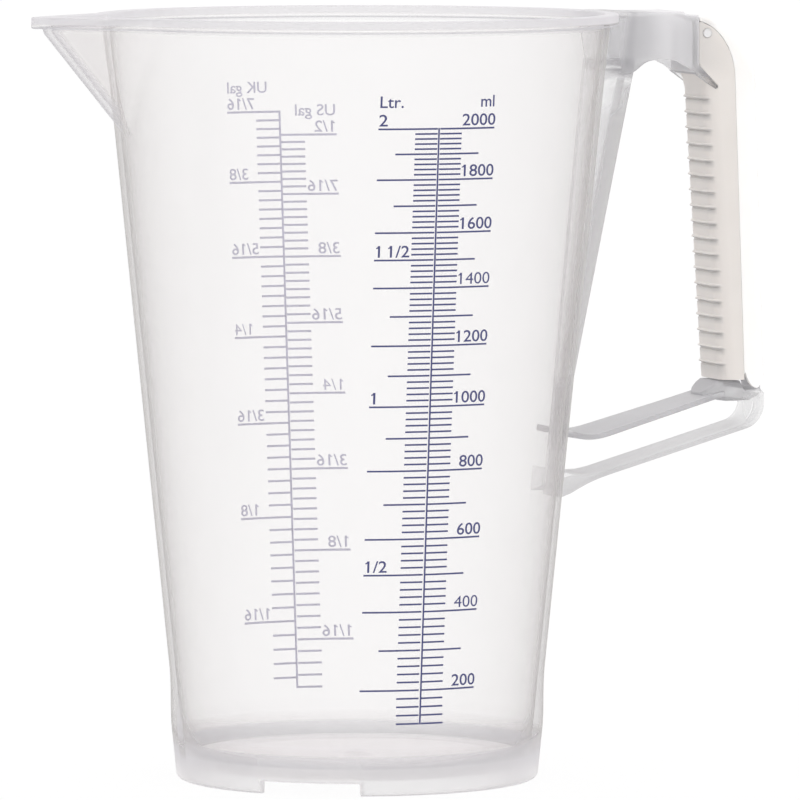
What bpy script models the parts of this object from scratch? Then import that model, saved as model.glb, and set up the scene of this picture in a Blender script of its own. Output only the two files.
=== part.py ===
"""Two-litre graduated measuring jug with a closed handle.

The jug stands on z = 0, its spout points to -X and its handle to +X, and it is
symmetric about the XZ plane.  Lengths are in metres.  The handle's outlines are
(reach, height) pairs: reach is the distance from the vessel's own axis, height
the distance above the surface that the jug stands on.
"""

import math

import bmesh
import bpy
from mathutils import Vector

MM = 0.001

# Vessel
HEIGHT = 220.0 * MM
FOOT_RADIUS = 51.2 * MM            # outer wall radius, carried down to z = 0
DRAFT = 0.1                        # growth of the wall radius per unit of height
WALL = 1.7 * MM
STANDING_FACE = -1.0 * MM          # the foot reaches this far below the datum of the heights
FLOOR_TOP = 5.4 * MM
FLOOR_UNDERSIDE = 3.2 * MM
FLOOR_FILLET = 5.0 * MM
FOOT_EDGE = 1.6 * MM               # rounding between the wall and the standing face
FOOT_BEND = 0.3                    # middle of that rounding, up it and in from its side
FOOT_FACE = 2.6 * MM               # width of the standing face
FOOT_SWELL = 1.15 * MM             # the wall stands this much further out at its foot
FOOT_SWELL_SPAN = (13.0 * MM, 29.0 * MM)   # heights where the swell ends and where it starts
SPRUE_RADIUS = 5.2 * MM
SPRUE_HEIGHT = 1.3 * MM

# Foot notches
NOTCH_ANGLES = (0.0, math.radians(124.0), math.radians(-124.0))
NOTCH_WIDTH = 29.5 * MM
NOTCH_TOP = 2.8 * MM
NOTCH_DEPTHS = (8.0 * MM, 4.0 * MM)   # the cutter's reach inside and outside the wall

# Rim band
RIM_HEIGHT = 3.4 * MM
RIM_OVERHANG = 2.3 * MM
RIM_EDGE = 0.5 * MM
UNDERSIDE_HUB = 12.0 * MM          # inmost ring of the underside's mesh
RING_SLOPE = 0.4 * MM              # slope of the foot ring's inner face

# Spout
SPOUT_FOOT = 184.0 * MM            # height where the keel leaves the wall
SPOUT_HALF_ANGLE = math.radians(21.5)
KEEL_REACH = 99.7 * MM             # where the keel's straight line would meet the rim
KEEL_END = 96.0 * MM               # the keel turns upright here, under the rim band
KEEL_ROUNDING = 0.016              # radians, seen from the vessel's axis
CREASE_ROUNDING = 1.2 * MM
SPOUT_LIMIT = math.radians(60.0)

# Handle, outside line and seam line round the top corner: centre and radii
OUTER_CENTRE = (98.0 * MM, 200.0 * MM)
OUTER_RADII = (22.0 * MM, 19.8 * MM)
OUTER_LEAN = 0.0333                # outward lean of the back below the corner
SEAM_CENTRE = (99.0 * MM, 200.0 * MM)
SEAM_RADII = (13.6 * MM, 17.3 * MM)
SEAM_LEAN = 0.036
HANDLE_HALF_WIDTH = 10.6 * MM
CLEARANCE = 0.3 * MM

# Handle frame
SPINE_FOOT = (66.6 * MM, 121.5 * MM)     # a point on the spine's outer edge
SPINE_LEAN = 0.2065
SPINE_HALF_WIDTH = (7.6 * MM, 5.0 * MM)  # at the wall and at the outer edge
SPINE_WEB = 1.8 * MM
SPINE_SPAN = (79.0 * MM, 206.0 * MM)
SPINE_BENDS = (92.0 * MM, 125.0 * MM, 165.0 * MM)
SPINE_ROOT_DEPTH = 4.0 * MM              # the spine runs this far in before the wall trims it
HOLLOW_SPAN = (101.0 * MM, 203.0 * MM)   # channel inside the spine
BRIDGE_TOP = 219.8 * MM
BRIDGE_STEP = 1.1 * MM                   # the bridge's end and the cover's start lie this much lower
BRIDGE_WEB = 1.8 * MM
BRIDGE_SHOULDER = 0.7 * MM
BRIDGE_END = 101.3 * MM
BULKHEAD_REACH = 99.9 * MM
BULKHEAD_FEET = (202.4 * MM, 201.4 * MM)   # at its bridge side and at its grip side
BULKHEAD_TOP = 217.5 * MM
STRAP = 1.25 * MM
STRAP_HALF_WIDTH = 9.4 * MM
STRAP_HIDDEN_HALF_WIDTH = 6.4 * MM
FOOT_HALF_WIDTH = 8.7 * MM
STRAP_START = 97.0 * MM
STRAP_REACH = 122.3 * MM                 # outer face below the back cover
STRAP_CORNER = (105.0 * MM, 7.5 * MM)    # height of the corner's centre, outer radius
STRAP_STEP_HEIGHTS = (110.4 * MM, 109.2 * MM, 108.2 * MM)   # where the strap widens below the cover
ARM_SLOPE = math.atan(0.291)
ROOT_HALF_WIDTH = 13.5 * MM
ROOT_FLARE = (74.0 * MM, 61.0 * MM)      # reach where the lower arm starts and ends its flare
UPPER_ARM = 1.6 * MM
WALL_END = 56.0 * MM                     # arms run this far in before the wall trims them

# Grip shell
GRIP_FACE = (103.6 * MM, 194.0 * MM)     # a point on the face that the fingers hold
GRIP_LEAN = 0.0642
GRIP_WALL = 1.8 * MM
GRIP_CORNER = 4.5 * MM
GRIP_SPAN = (112.2 * MM, 216.5 * MM)
GRIP_RIM = 0.5 * MM                      # thinnest part of the face, at the shell's top
RIB_COUNT = 18
RIB_SPAN = (117.0 * MM, 194.6 * MM)
RIB_PROUD = 0.5 * MM
RIB_HALF_HEIGHT = (0.55 * MM, 0.25 * MM)  # at the root and at the crest
RIB_TURN = (math.radians(40.0), math.radians(20.0))  # ribs start at this turn of the corner
MOUTH_REACH = (100.0 * MM, 104.5 * MM)   # opening in the shell that the strap passes
MOUTH_HEIGHT = (204.5 * MM, 218.0 * MM)
CUTTER_MARGIN = 1.0 * MM                 # cutters stand this far out of what they cut

# Back cover
COVER_WALL = 1.5 * MM
COVER_CORNER = 4.0 * MM
COVER_FOOT = 109.4 * MM
COVER_WEB_END = 113.0 * MM               # the back stops here, the sides run on to the foot
COVER_START = math.radians(9.2)
SEAM_START = math.radians(11.0)
COVER_LEVEL = math.radians(35.0)         # the step has died out by this turn
COVER_HEIGHTS = (170.0 * MM, 140.0 * MM, 120.0 * MM, COVER_FOOT)

# Grip pin
PIN_PLACE = (103.9 * MM, 213.5 * MM)
PIN_RADIUS = 1.4 * MM
PIN_PROUD = 0.3 * MM

POLYPROPYLENE = ((0.86, 0.86, 0.88, 1.0), 0.28)
GRIP_PLASTIC = ((0.80, 0.77, 0.74, 1.0), 0.42)
COVER_PLASTIC = ((0.95, 0.94, 0.93, 1.0), 0.36)
PIN_PLASTIC = ((0.84, 0.84, 0.86, 1.0), 0.30)


# ---------------------------------------------------------------- vessel outline

def wall_radius(height):
    """Outer radius of the plain conical wall."""
    return FOOT_RADIUS + DRAFT * height


def soft_max(first, second, blend):
    """The larger of two lengths, rounded off where they cross."""
    return 0.5 * (first + second + math.hypot(first - second, blend))


def outline_radius(angle, height, inset):
    """Distance from the axis to the outline, at an angle from the spout.

    The outline is set in from the outer wall by inset.  The spout is a pair of
    flat sides that meet in a keel, and the outline is the further of the plain
    wall and the spout's sides.
    """
    plain = wall_radius(height) - inset
    rise = (height - SPOUT_FOOT) / (HEIGHT - SPOUT_FOOT)
    if rise <= 0.0 or abs(angle) > SPOUT_LIMIT:
        return plain
    opening = rise * SPOUT_HALF_ANGLE
    foot = wall_radius(SPOUT_FOOT)
    keel = min(foot + rise * (KEEL_REACH - foot), KEEL_END)
    half_width = wall_radius(height) * math.sin(opening)
    run = keel - wall_radius(height) * math.cos(opening)
    lean = math.atan2(half_width, run)
    distance = keel * math.sin(lean) - inset
    turned = math.hypot(angle, KEEL_ROUNDING) - (0.5 * math.pi - lean)
    side = distance / math.cos(turned)
    return soft_max(plain, side, CREASE_ROUNDING * rise)


SPOUT_REACH = outline_radius(0.0, HEIGHT - RIM_EDGE, -RIM_OVERHANG)
COVER_REACH = OUTER_CENTRE[0] + OUTER_RADII[0] + OUTER_LEAN * (OUTER_CENTRE[1] - COVER_WEB_END)
HANDLE_REACH = max(STRAP_REACH, COVER_REACH)
AXIS_X = 0.5 * (SPOUT_REACH - HANDLE_REACH)     # centres the whole jug on x = 0


# ---------------------------------------------------------------- mesh helpers

def place(reach, side, height):
    """A point given from the vessel's axis and the datum of the heights."""
    return Vector((reach + AXIS_X, side, height - STANDING_FACE))


def finish_object(name, mesh_builder, finish, smooth=True):
    """Turn a bmesh into a named object with its own material."""
    bmesh.ops.recalc_face_normals(mesh_builder, faces=mesh_builder.faces)
    mesh = bpy.data.meshes.new(name)
    mesh_builder.to_mesh(mesh)
    mesh_builder.free()
    if smooth:
        mesh.shade_smooth()
        mesh.set_sharp_from_angle(angle=math.radians(35.0))
    thing = bpy.data.objects.new(name, mesh)
    bpy.context.scene.collection.objects.link(thing)
    if finish:
        mesh.materials.append(plastic(name + "_plastic", *finish))
    return thing


def plastic(name, colour, roughness):
    """A plain moulded plastic."""
    material = bpy.data.materials.new(name)
    material.use_nodes = True
    shader = material.node_tree.nodes["Principled BSDF"]
    shader.inputs["Base Color"].default_value = colour
    shader.inputs["Roughness"].default_value = roughness
    shader.inputs["Metallic"].default_value = 0.0
    return material


def add_loops(mesh_builder, loops):
    """Skin a run of closed loops that all have the same number of points."""
    rings = [[mesh_builder.verts.new(point) for point in loop] for loop in loops]
    for lower, upper in zip(rings, rings[1:]):
        for index in range(len(lower)):
            after = (index + 1) % len(lower)
            corners = (lower[index], lower[after], upper[after], upper[index])
            mesh_builder.faces.new(corners)
    return rings


def loft(name, loops, finish=None):
    """A closed solid through a run of loops, with flat ends."""
    mesh_builder = bmesh.new()
    rings = add_loops(mesh_builder, loops)
    mesh_builder.faces.new(rings[0])
    mesh_builder.faces.new(rings[-1])
    return finish_object(name, mesh_builder, finish)


def slab(name, outline, near, far, finish=None):
    """A (reach, height) outline drawn out along Y from near to far."""
    loops = [[place(reach, side, height) for reach, height in outline] for side in (near, far)]
    return loft(name, loops, finish)


def band(name, stations, finish=None):
    """A flat strip.

    Each station is a centre line point, the reach from it to the upper or inner
    face, the same to the lower or outer face, and the half width.
    """
    centres = [Vector(station[0]) for station in stations]
    loops = []
    for index, (centre, inner, outer, half_width) in enumerate(stations):
        before = centres[max(index - 1, 0)]
        after = centres[min(index + 1, len(centres) - 1)]
        along = (after - before).normalized()
        across = Vector((along.y, -along.x))
        face = centres[index] + across * outer
        back = centres[index] - across * inner
        loops.append([
            place(face.x, -half_width, face.y),
            place(face.x, half_width, face.y),
            place(back.x, half_width, back.y),
            place(back.x, -half_width, back.y),
        ])
    return loft(name, loops, finish)


def combine(thing, tool, operation):
    """Add an exact Boolean with a guide that stays out of the finished jug."""
    modifier = thing.modifiers.new(tool.name, "BOOLEAN")
    modifier.operation = operation
    modifier.solver = "EXACT"
    modifier.object = tool
    tool.hide_render = True
    tool.display_type = "WIRE"


# ---------------------------------------------------------------- vessel

def column_angles():
    """Angles of the vessel's upright mesh lines, closer together at the spout."""
    fine_limit = math.radians(26.0)
    fine_count = 20
    coarse_count = 44
    fine = [-fine_limit + 2.0 * fine_limit * step / fine_count for step in range(fine_count)]
    rest = 2.0 * math.pi - 2.0 * fine_limit
    coarse = [fine_limit + rest * step / coarse_count for step in range(coarse_count)]
    return fine + coarse


def signed(angle):
    """The same angle between -pi and pi."""
    return math.atan2(math.sin(angle), math.cos(angle))


def wall_ring(height, inset):
    """A ring that follows the vessel's outline."""
    points = []
    for angle in column_angles():
        radius = outline_radius(signed(angle), height, inset)
        points.append(place(-radius * math.cos(angle), radius * math.sin(angle), height))
    return points


def band_ring(height, inset):
    """A ring of the rim band, whose outline is the same all the way up it."""
    outline = wall_ring(HEIGHT - RIM_EDGE, inset)
    return [Vector((point.x, point.y, height - STANDING_FACE)) for point in outline]


def round_ring(height, radius):
    """A plain circular ring."""
    angles = column_angles()
    return [place(-radius * math.cos(a), radius * math.sin(a), height) for a in angles]


def quarter_round(start_height, start_inset, rise, run, steps):
    """Rings round a quarter ellipse: the far end is rise up and run further in."""
    rings = []
    for step in range(1, steps + 1):
        turn = 0.5 * math.pi * step / steps
        height = start_height + rise * math.sin(turn)
        inset = start_inset + run * (1.0 - math.cos(turn))
        rings.append(wall_ring(height, inset))
    return rings


def spout_levels():
    """Heights at which the spout's shape is read."""
    count = 6
    top = HEIGHT - RIM_HEIGHT
    return [SPOUT_FOOT + (top - SPOUT_FOOT) * step / count for step in range(count + 1)]


def vessel_rings():
    """Rings from the middle of the underside, up the outside, down to the floor."""
    face_outer = FOOT_EDGE - FOOT_SWELL
    ring_inner = face_outer + FOOT_FACE
    swell_top, swell_start = FOOT_SWELL_SPAN
    rings = [round_ring(FLOOR_UNDERSIDE, UNDERSIDE_HUB)]
    rings.append(wall_ring(FLOOR_UNDERSIDE, ring_inner + RING_SLOPE))
    rings.append(wall_ring(STANDING_FACE, ring_inner))
    rings.append(wall_ring(STANDING_FACE, face_outer))
    edge = FOOT_BEND * FOOT_EDGE
    rings.append(wall_ring(STANDING_FACE + edge, edge - FOOT_SWELL))
    rings.append(wall_ring(STANDING_FACE + FOOT_EDGE, -FOOT_SWELL))
    rings.append(wall_ring(swell_top, -FOOT_SWELL))
    rings.append(wall_ring(swell_start, 0.0))
    rings.append(wall_ring(0.5 * HEIGHT, 0.0))
    rings.extend(wall_ring(level, 0.0) for level in spout_levels())
    band_foot = HEIGHT - RIM_HEIGHT
    rings.append(band_ring(band_foot, -RIM_OVERHANG + RIM_EDGE))
    rings.append(band_ring(band_foot + RIM_EDGE, -RIM_OVERHANG))
    rings.append(band_ring(HEIGHT - RIM_EDGE, -RIM_OVERHANG))
    rings.append(band_ring(HEIGHT, -RIM_OVERHANG + RIM_EDGE))
    rings.append(wall_ring(HEIGHT, WALL - RIM_EDGE))
    rings.append(wall_ring(HEIGHT - RIM_EDGE, WALL))
    rings.extend(wall_ring(level, WALL) for level in reversed(spout_levels()))
    rings.append(wall_ring(0.5 * HEIGHT, WALL))
    rings.append(wall_ring(FLOOR_TOP + FLOOR_FILLET, WALL))
    rings.extend(quarter_round(FLOOR_TOP + FLOOR_FILLET, WALL, -FLOOR_FILLET, FLOOR_FILLET, 3))
    rings.append(round_ring(FLOOR_TOP, SPRUE_RADIUS))
    rings.append(round_ring(FLOOR_TOP + SPRUE_HEIGHT, 0.75 * SPRUE_RADIUS))
    return rings


def close_ring(mesh_builder, ring, middle):
    """Fill a ring with a fan from its middle."""
    centre = mesh_builder.verts.new(middle)
    for index, corner in enumerate(ring):
        mesh_builder.faces.new((corner, ring[(index + 1) % len(ring)], centre))


def notch_cutter(index, angle):
    """A block that cuts one gap in the foot, at an angle from the handle."""
    inner = wall_radius(0.0) - NOTCH_DEPTHS[0]
    outer = wall_radius(0.0) + NOTCH_DEPTHS[1]
    half = 0.5 * NOTCH_WIDTH
    corners = ((inner, -half), (outer, -half), (outer, half), (inner, half))
    loops = []
    for height in (STANDING_FACE - CUTTER_MARGIN, NOTCH_TOP):
        loop = []
        for reach, side in corners:
            x = reach * math.cos(angle) - side * math.sin(angle)
            y = reach * math.sin(angle) + side * math.cos(angle)
            loop.append(place(x, y, height))
        loops.append(loop)
    return loft("notch_cutter_%d" % index, loops)


def make_jug_body():
    """Vessel with its rim band, spout, floor and notched foot."""
    mesh_builder = bmesh.new()
    rings = add_loops(mesh_builder, vessel_rings())
    close_ring(mesh_builder, rings[0], place(0.0, 0.0, FLOOR_UNDERSIDE))
    close_ring(mesh_builder, rings[-1], place(0.0, 0.0, FLOOR_TOP + SPRUE_HEIGHT))
    body = finish_object("jug_body", mesh_builder, POLYPROPYLENE)
    for index, angle in enumerate(NOTCH_ANGLES):
        combine(body, notch_cutter(index, angle), "DIFFERENCE")


# ---------------------------------------------------------------- handle lines

def top_dip(turn):
    """How far the outside line lies below its ellipse at the start of the corner."""
    share = min(max((turn - SEAM_START) / (COVER_LEVEL - SEAM_START), 0.0), 1.0)
    return BRIDGE_STEP * (1.0 - share * share * (3.0 - 2.0 * share))


def outer_point(turn, depth=0.0):
    """A point at a depth inside the handle's outside line round the top corner."""
    reach = OUTER_CENTRE[0] + (OUTER_RADII[0] - depth) * math.sin(turn)
    height = OUTER_CENTRE[1] + (OUTER_RADII[1] - depth) * math.cos(turn)
    return (reach, height - top_dip(turn))


def seam_point(turn):
    """The point of the seam that faces outer_point(turn)."""
    reach = SEAM_CENTRE[0] + SEAM_RADII[0] * math.sin(turn)
    return (reach, SEAM_CENTRE[1] + SEAM_RADII[1] * math.cos(turn))


def outer_reach(height):
    """Reach of the handle's back below the top corner."""
    return OUTER_CENTRE[0] + OUTER_RADII[0] + OUTER_LEAN * (OUTER_CENTRE[1] - height)


def seam_reach(height):
    """Reach of the seam at a height, round the corner and below it."""
    above = height - SEAM_CENTRE[1]
    if above <= 0.0:
        return SEAM_CENTRE[0] + SEAM_RADII[0] - SEAM_LEAN * above
    across = math.sqrt(1.0 - (above / SEAM_RADII[1]) ** 2)
    return SEAM_CENTRE[0] + SEAM_RADII[0] * across


# ---------------------------------------------------------------- handle frame

def spine_edge(height):
    """Reach of the spine's outer edge: a wedge that dies out down the wall."""
    line = SPINE_FOOT[0] + SPINE_LEAN * (height - SPINE_FOOT[1])
    return max(line, wall_radius(height) + SPINE_WEB)


def spine_loops(inset, span):
    """Trapezoids up the spine, inset on its sides and outer edge."""
    bends = [height for height in SPINE_BENDS if height > span[0]]
    loops = []
    for height in [span[0], *bends, span[1]]:
        root = wall_radius(height) - SPINE_ROOT_DEPTH
        edge = spine_edge(height) - inset
        wide = SPINE_HALF_WIDTH[0] - inset
        narrow = SPINE_HALF_WIDTH[1] - inset
        loops.append([
            place(root, -wide, height),
            place(edge, -narrow, height),
            place(edge, narrow, height),
            place(root, wide, height),
        ])
    return loops


def bridge_sections():
    """Reach, top height, underside height, half width at the top and below."""
    end_top = BRIDGE_TOP - BRIDGE_STEP
    return (
        (73.0 * MM, HEIGHT, 201.8 * MM, 15.5 * MM, 7.4 * MM),
        (79.0 * MM, HEIGHT, 201.9 * MM, 13.0 * MM, 6.8 * MM),
        (82.6 * MM, BRIDGE_TOP, 202.2 * MM, 11.8 * MM, 6.4 * MM),
        (86.0 * MM, BRIDGE_TOP, 205.1 * MM, 11.0 * MM, 8.2 * MM),
        (90.0 * MM, BRIDGE_TOP, 206.0 * MM, HANDLE_HALF_WIDTH, 10.0 * MM),
        (94.0 * MM, BRIDGE_TOP, 205.6 * MM, HANDLE_HALF_WIDTH, HANDLE_HALF_WIDTH),
        (96.6 * MM, BRIDGE_TOP, 204.3 * MM, HANDLE_HALF_WIDTH, HANDLE_HALF_WIDTH),
        (98.2 * MM, end_top, 203.5 * MM, HANDLE_HALF_WIDTH, HANDLE_HALF_WIDTH),
        (BRIDGE_END, end_top, 201.2 * MM, HANDLE_HALF_WIDTH, HANDLE_HALF_WIDTH),
    )


def bridge_loop(reach, top, underside, upper, lower):
    """An inverted channel section: top web and two cheeks."""
    ceiling = top - BRIDGE_WEB
    shoulder = BRIDGE_SHOULDER
    return [
        place(reach, -lower, underside),
        place(reach, -upper, top - shoulder),
        place(reach, -upper + shoulder, top),
        place(reach, upper - shoulder, top),
        place(reach, upper, top - shoulder),
        place(reach, lower, underside),
        place(reach, lower - BRIDGE_WEB, underside),
        place(reach, upper - BRIDGE_WEB, ceiling),
        place(reach, -upper + BRIDGE_WEB, ceiling),
        place(reach, -lower + BRIDGE_WEB, underside),
    ]


def bulkhead_outline():
    """The web that closes the bridge's end behind the grip."""
    near_foot, far_foot = BULKHEAD_FEET
    return (
        (BULKHEAD_REACH, near_foot),
        (BRIDGE_END, far_foot),
        (BRIDGE_END, BULKHEAD_TOP),
        (BULKHEAD_REACH, BULKHEAD_TOP),
    )


def tongue_outline(margin):
    """Pointed finger of each cheek that lies in the grip's side."""
    return (
        (100.0 * MM, 201.9 * MM - margin),
        (106.5 * MM, 197.2 * MM - margin),
        (107.3 * MM + margin, 197.6 * MM - margin),
        (107.2 * MM + margin, 198.2 * MM + margin),
        (100.0 * MM, 205.6 * MM + margin),
    )


def strap_stations():
    """Centre line of the strap: bridge, corner, back, lower corner and lower arm."""
    half = 0.5 * STRAP
    hidden = COVER_WALL + CLEARANCE + half
    steps = 9
    line = [outer_point(0.5 * math.pi * step / steps, hidden) for step in range(steps + 1)]
    line.insert(0, (STRAP_START, line[0][1]))
    height = COVER_WEB_END + CLEARANCE
    line.append((outer_reach(height) - hidden, height))
    full_reach = STRAP_REACH - half
    upper_step, middle_step, lower_step = STRAP_STEP_HEIGHTS
    line.append((full_reach, upper_step))
    line.append((full_reach, middle_step))
    stations = [(point, half, half, STRAP_HIDDEN_HALF_WIDTH) for point in line]
    stations.append(((full_reach, lower_step), half, half, STRAP_HALF_WIDTH))
    return stations + lower_arm_stations()


def lower_arm_stations():
    """Lower corner and the arm that slopes down to the wall, swelling at its root."""
    half = 0.5 * STRAP
    corner_height, corner_radius = STRAP_CORNER
    centre = (STRAP_REACH - corner_radius, corner_height)
    radius = corner_radius - half
    sweep = 0.5 * math.pi - ARM_SLOPE
    stations = []
    steps = 6
    for step in range(steps + 1):
        turn = sweep * step / steps
        point = (centre[0] + radius * math.cos(turn), centre[1] - radius * math.sin(turn))
        stations.append((point, half, half, STRAP_HALF_WIDTH))
    start = stations[-1][0]
    swells = (
        (ROOT_FLARE[0], 0.0),
        (67.0 * MM, 1.2 * MM),
        (60.6 * MM, 4.2 * MM),
        (WALL_END, 6.0 * MM),
    )
    for reach, swell in swells:
        height = start[1] - (start[0] - reach) * math.tan(ARM_SLOPE)
        stations.append(((reach, height), half + 0.2 * swell, half + swell, root_half_width(reach)))
    return stations


def root_half_width(reach):
    """Half width of the lower arm: it flares out to its root on the wall."""
    flare = min(max((ROOT_FLARE[0] - reach) / (ROOT_FLARE[0] - ROOT_FLARE[1]), 0.0), 1.0)
    return STRAP_HALF_WIDTH + flare * flare * (ROOT_HALF_WIDTH - STRAP_HALF_WIDTH)


def upper_arm_stations():
    """Arm from the grip's foot down to the wall, turning up a little at its root."""
    half = 0.5 * UPPER_ARM
    line = (
        (110.0 * MM, 108.2 * MM, 9.4 * MM),
        (96.0 * MM, 104.1 * MM, 10.2 * MM),
        (82.0 * MM, 100.1 * MM, 11.2 * MM),
        (75.0 * MM, 98.1 * MM, 11.8 * MM),
        (71.0 * MM, 97.1 * MM, 12.2 * MM),
        (67.0 * MM, 96.8 * MM, 12.6 * MM),
        (63.0 * MM, 97.3 * MM, 13.0 * MM),
        (WALL_END, 98.6 * MM, ROOT_HALF_WIDTH),
    )
    return [((reach, height), half, half, half_width) for reach, height, half_width in line]


def foot_sections():
    """Reach, underside, top and half width of the boat-shaped foot of the grip."""
    return (
        (104.4 * MM, 107.7 * MM, 108.3 * MM, 4.0 * MM),
        (105.6 * MM, 107.2 * MM, 109.4 * MM, 6.4 * MM),
        (107.2 * MM, 106.5 * MM, 110.7 * MM, 7.8 * MM),
        (108.8 * MM, 106.2 * MM, 111.7 * MM, 8.4 * MM),
        (111.0 * MM, 105.9 * MM, 111.7 * MM, FOOT_HALF_WIDTH),
        (115.2 * MM, 105.9 * MM, 111.7 * MM, FOOT_HALF_WIDTH),
        (116.6 * MM, 106.0 * MM, 109.3 * MM, FOOT_HALF_WIDTH),
        (118.0 * MM, 106.0 * MM, 109.3 * MM, FOOT_HALF_WIDTH),
        (120.4 * MM, 107.2 * MM, 109.3 * MM, FOOT_HALF_WIDTH),
        (121.6 * MM, 108.6 * MM, 109.3 * MM, FOOT_HALF_WIDTH),
    )


def foot_loop(reach, underside, top, half_width):
    """One upright rectangle across the foot."""
    return [
        place(reach, -half_width, underside),
        place(reach, half_width, underside),
        place(reach, half_width, top),
        place(reach, -half_width, top),
    ]


def vessel_envelope():
    """The space that the vessel takes up, with a clearance all round it."""
    steps = 96
    band_foot = HEIGHT - RIM_HEIGHT - CLEARANCE
    below_arms = 60.0 * MM
    rim_radius = wall_radius(HEIGHT) + RIM_OVERHANG + CLEARANCE
    profile = (
        (wall_radius(below_arms) + CLEARANCE, below_arms),
        (wall_radius(band_foot) + CLEARANCE, band_foot),
        (rim_radius, band_foot),
        (rim_radius, HEIGHT + CUTTER_MARGIN),
    )
    turns = [2.0 * math.pi * step / steps for step in range(steps)]
    loops = []
    for radius, height in profile:
        loops.append([place(radius * math.cos(t), radius * math.sin(t), height) for t in turns])
    return loft("vessel_envelope", loops)


def make_handle_frame():
    """Translucent moulding: spine, bridge, strap, both arms and the grip's foot."""
    frame = loft("handle_frame", [bridge_loop(*row) for row in bridge_sections()], POLYPROPYLENE)
    combine(frame, loft("spine_guide", spine_loops(0.0, SPINE_SPAN)), "UNION")
    combine(frame, loft("spine_hollow", spine_loops(SPINE_WEB, HOLLOW_SPAN)), "DIFFERENCE")
    inner = HANDLE_HALF_WIDTH - BRIDGE_WEB
    near = slab("tongue_near", tongue_outline(0.0), -HANDLE_HALF_WIDTH, -inner)
    far = slab("tongue_far", tongue_outline(0.0), inner, HANDLE_HALF_WIDTH)
    combine(frame, near, "UNION")
    combine(frame, far, "UNION")
    half = HANDLE_HALF_WIDTH - 0.5 * BRIDGE_WEB
    combine(frame, slab("bulkhead_guide", bulkhead_outline(), -half, half), "UNION")
    combine(frame, band("strap_guide", strap_stations()), "UNION")
    combine(frame, band("upper_arm_guide", upper_arm_stations()), "UNION")
    foot = loft("foot_guide", [foot_loop(*section) for section in foot_sections()])
    combine(frame, foot, "UNION")
    combine(frame, vessel_envelope(), "DIFFERENCE")


# ---------------------------------------------------------------- grip shell

def grip_face(height):
    """Reach of the face that the fingers hold, drawn in under the bridge."""
    face = GRIP_FACE[0] + GRIP_LEAN * (GRIP_FACE[1] - height)
    blend = min(max((height - 200.0 * MM) / (5.0 * MM), 0.0), 1.0)
    return face + blend * (BRIDGE_END + CLEARANCE - face)


def grip_corner(height):
    """Corner radius of the shell: round in the hand, sharp beside the bridge."""
    blend = min(max((height - 197.0 * MM) / (7.0 * MM), 0.0), 1.0)
    return GRIP_CORNER + blend * (0.4 * MM - GRIP_CORNER)


def grip_half_section(height, proud):
    """Outer points from the back edge round to the middle of the face, one side."""
    face = grip_face(height)
    corner = grip_corner(height)
    points = [(seam_reach(height) - CLEARANCE, HANDLE_HALF_WIDTH)]
    start, span = RIB_TURN
    steps = 4
    for step in range(steps + 1):
        turn = 0.5 * math.pi * step / steps
        radius = corner + proud * min(max((turn - start) / span, 0.0), 1.0)
        reach = face + corner - radius * math.sin(turn)
        side = HANDLE_HALF_WIDTH - corner + radius * math.cos(turn)
        points.append((reach, side))
    return points


def grip_inner_half(height):
    """Inner points from the middle of the face back to the edge, one side."""
    back = seam_reach(height) - CLEARANCE
    face = min(grip_face(height) + GRIP_WALL, back - GRIP_RIM)
    corner = max(grip_corner(height) - GRIP_WALL, 0.2 * MM)
    side = HANDLE_HALF_WIDTH - GRIP_WALL
    return [(face, side - corner), (min(face + corner, back - 0.2 * MM), side), (back, side)]


def grip_loop(height, proud):
    """One U-shaped section of the shell."""
    outer = grip_half_section(height, proud)
    inner = grip_inner_half(height)
    near = [(reach, -side) for reach, side in outer]
    inner_near = [(reach, -side) for reach, side in inner]
    loop = near + outer[::-1] + inner[::-1] + inner_near
    return [place(reach, side, height) for reach, side in loop]


def grip_levels():
    """Heights and rib height of the shell's sections, from its foot to its top."""
    levels = [(GRIP_SPAN[0], 0.0)]
    pitch = (RIB_SPAN[1] - RIB_SPAN[0]) / (RIB_COUNT - 1)
    root, crest = RIB_HALF_HEIGHT
    for index in range(RIB_COUNT):
        middle = RIB_SPAN[0] + pitch * index
        levels.append((middle - root, 0.0))
        levels.append((middle - crest, RIB_PROUD))
        levels.append((middle + crest, RIB_PROUD))
        levels.append((middle + root, 0.0))
    for height in (197.0, 200.0, 202.5, 205.0, 208.0, 211.0, 213.5):
        levels.append((height * MM, 0.0))
    levels.append((GRIP_SPAN[1], 0.0))
    return levels


def make_grip_shell():
    """Ribbed U-shaped shell that the fingers close round."""
    grip = loft("grip_shell", [grip_loop(*level) for level in grip_levels()], GRIP_PLASTIC)
    outside = HANDLE_HALF_WIDTH + CUTTER_MARGIN
    inner = HANDLE_HALF_WIDTH - GRIP_WALL
    outline = tongue_outline(CLEARANCE)
    slot = inner - CLEARANCE
    combine(grip, slab("near_slot_cutter", outline, -outside, -slot), "DIFFERENCE")
    combine(grip, slab("far_slot_cutter", outline, slot, outside), "DIFFERENCE")
    near_reach, far_reach = MOUTH_REACH
    low, high = MOUTH_HEIGHT
    mouth = ((near_reach, low), (far_reach, low), (far_reach, high), (near_reach, high))
    combine(grip, slab("bridge_mouth", mouth, -inner, inner), "DIFFERENCE")
    combine(grip, pin_bar("pin_bore", PIN_RADIUS + 0.5 * CLEARANCE, outside), "DIFFERENCE")


# ---------------------------------------------------------------- back cover

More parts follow.
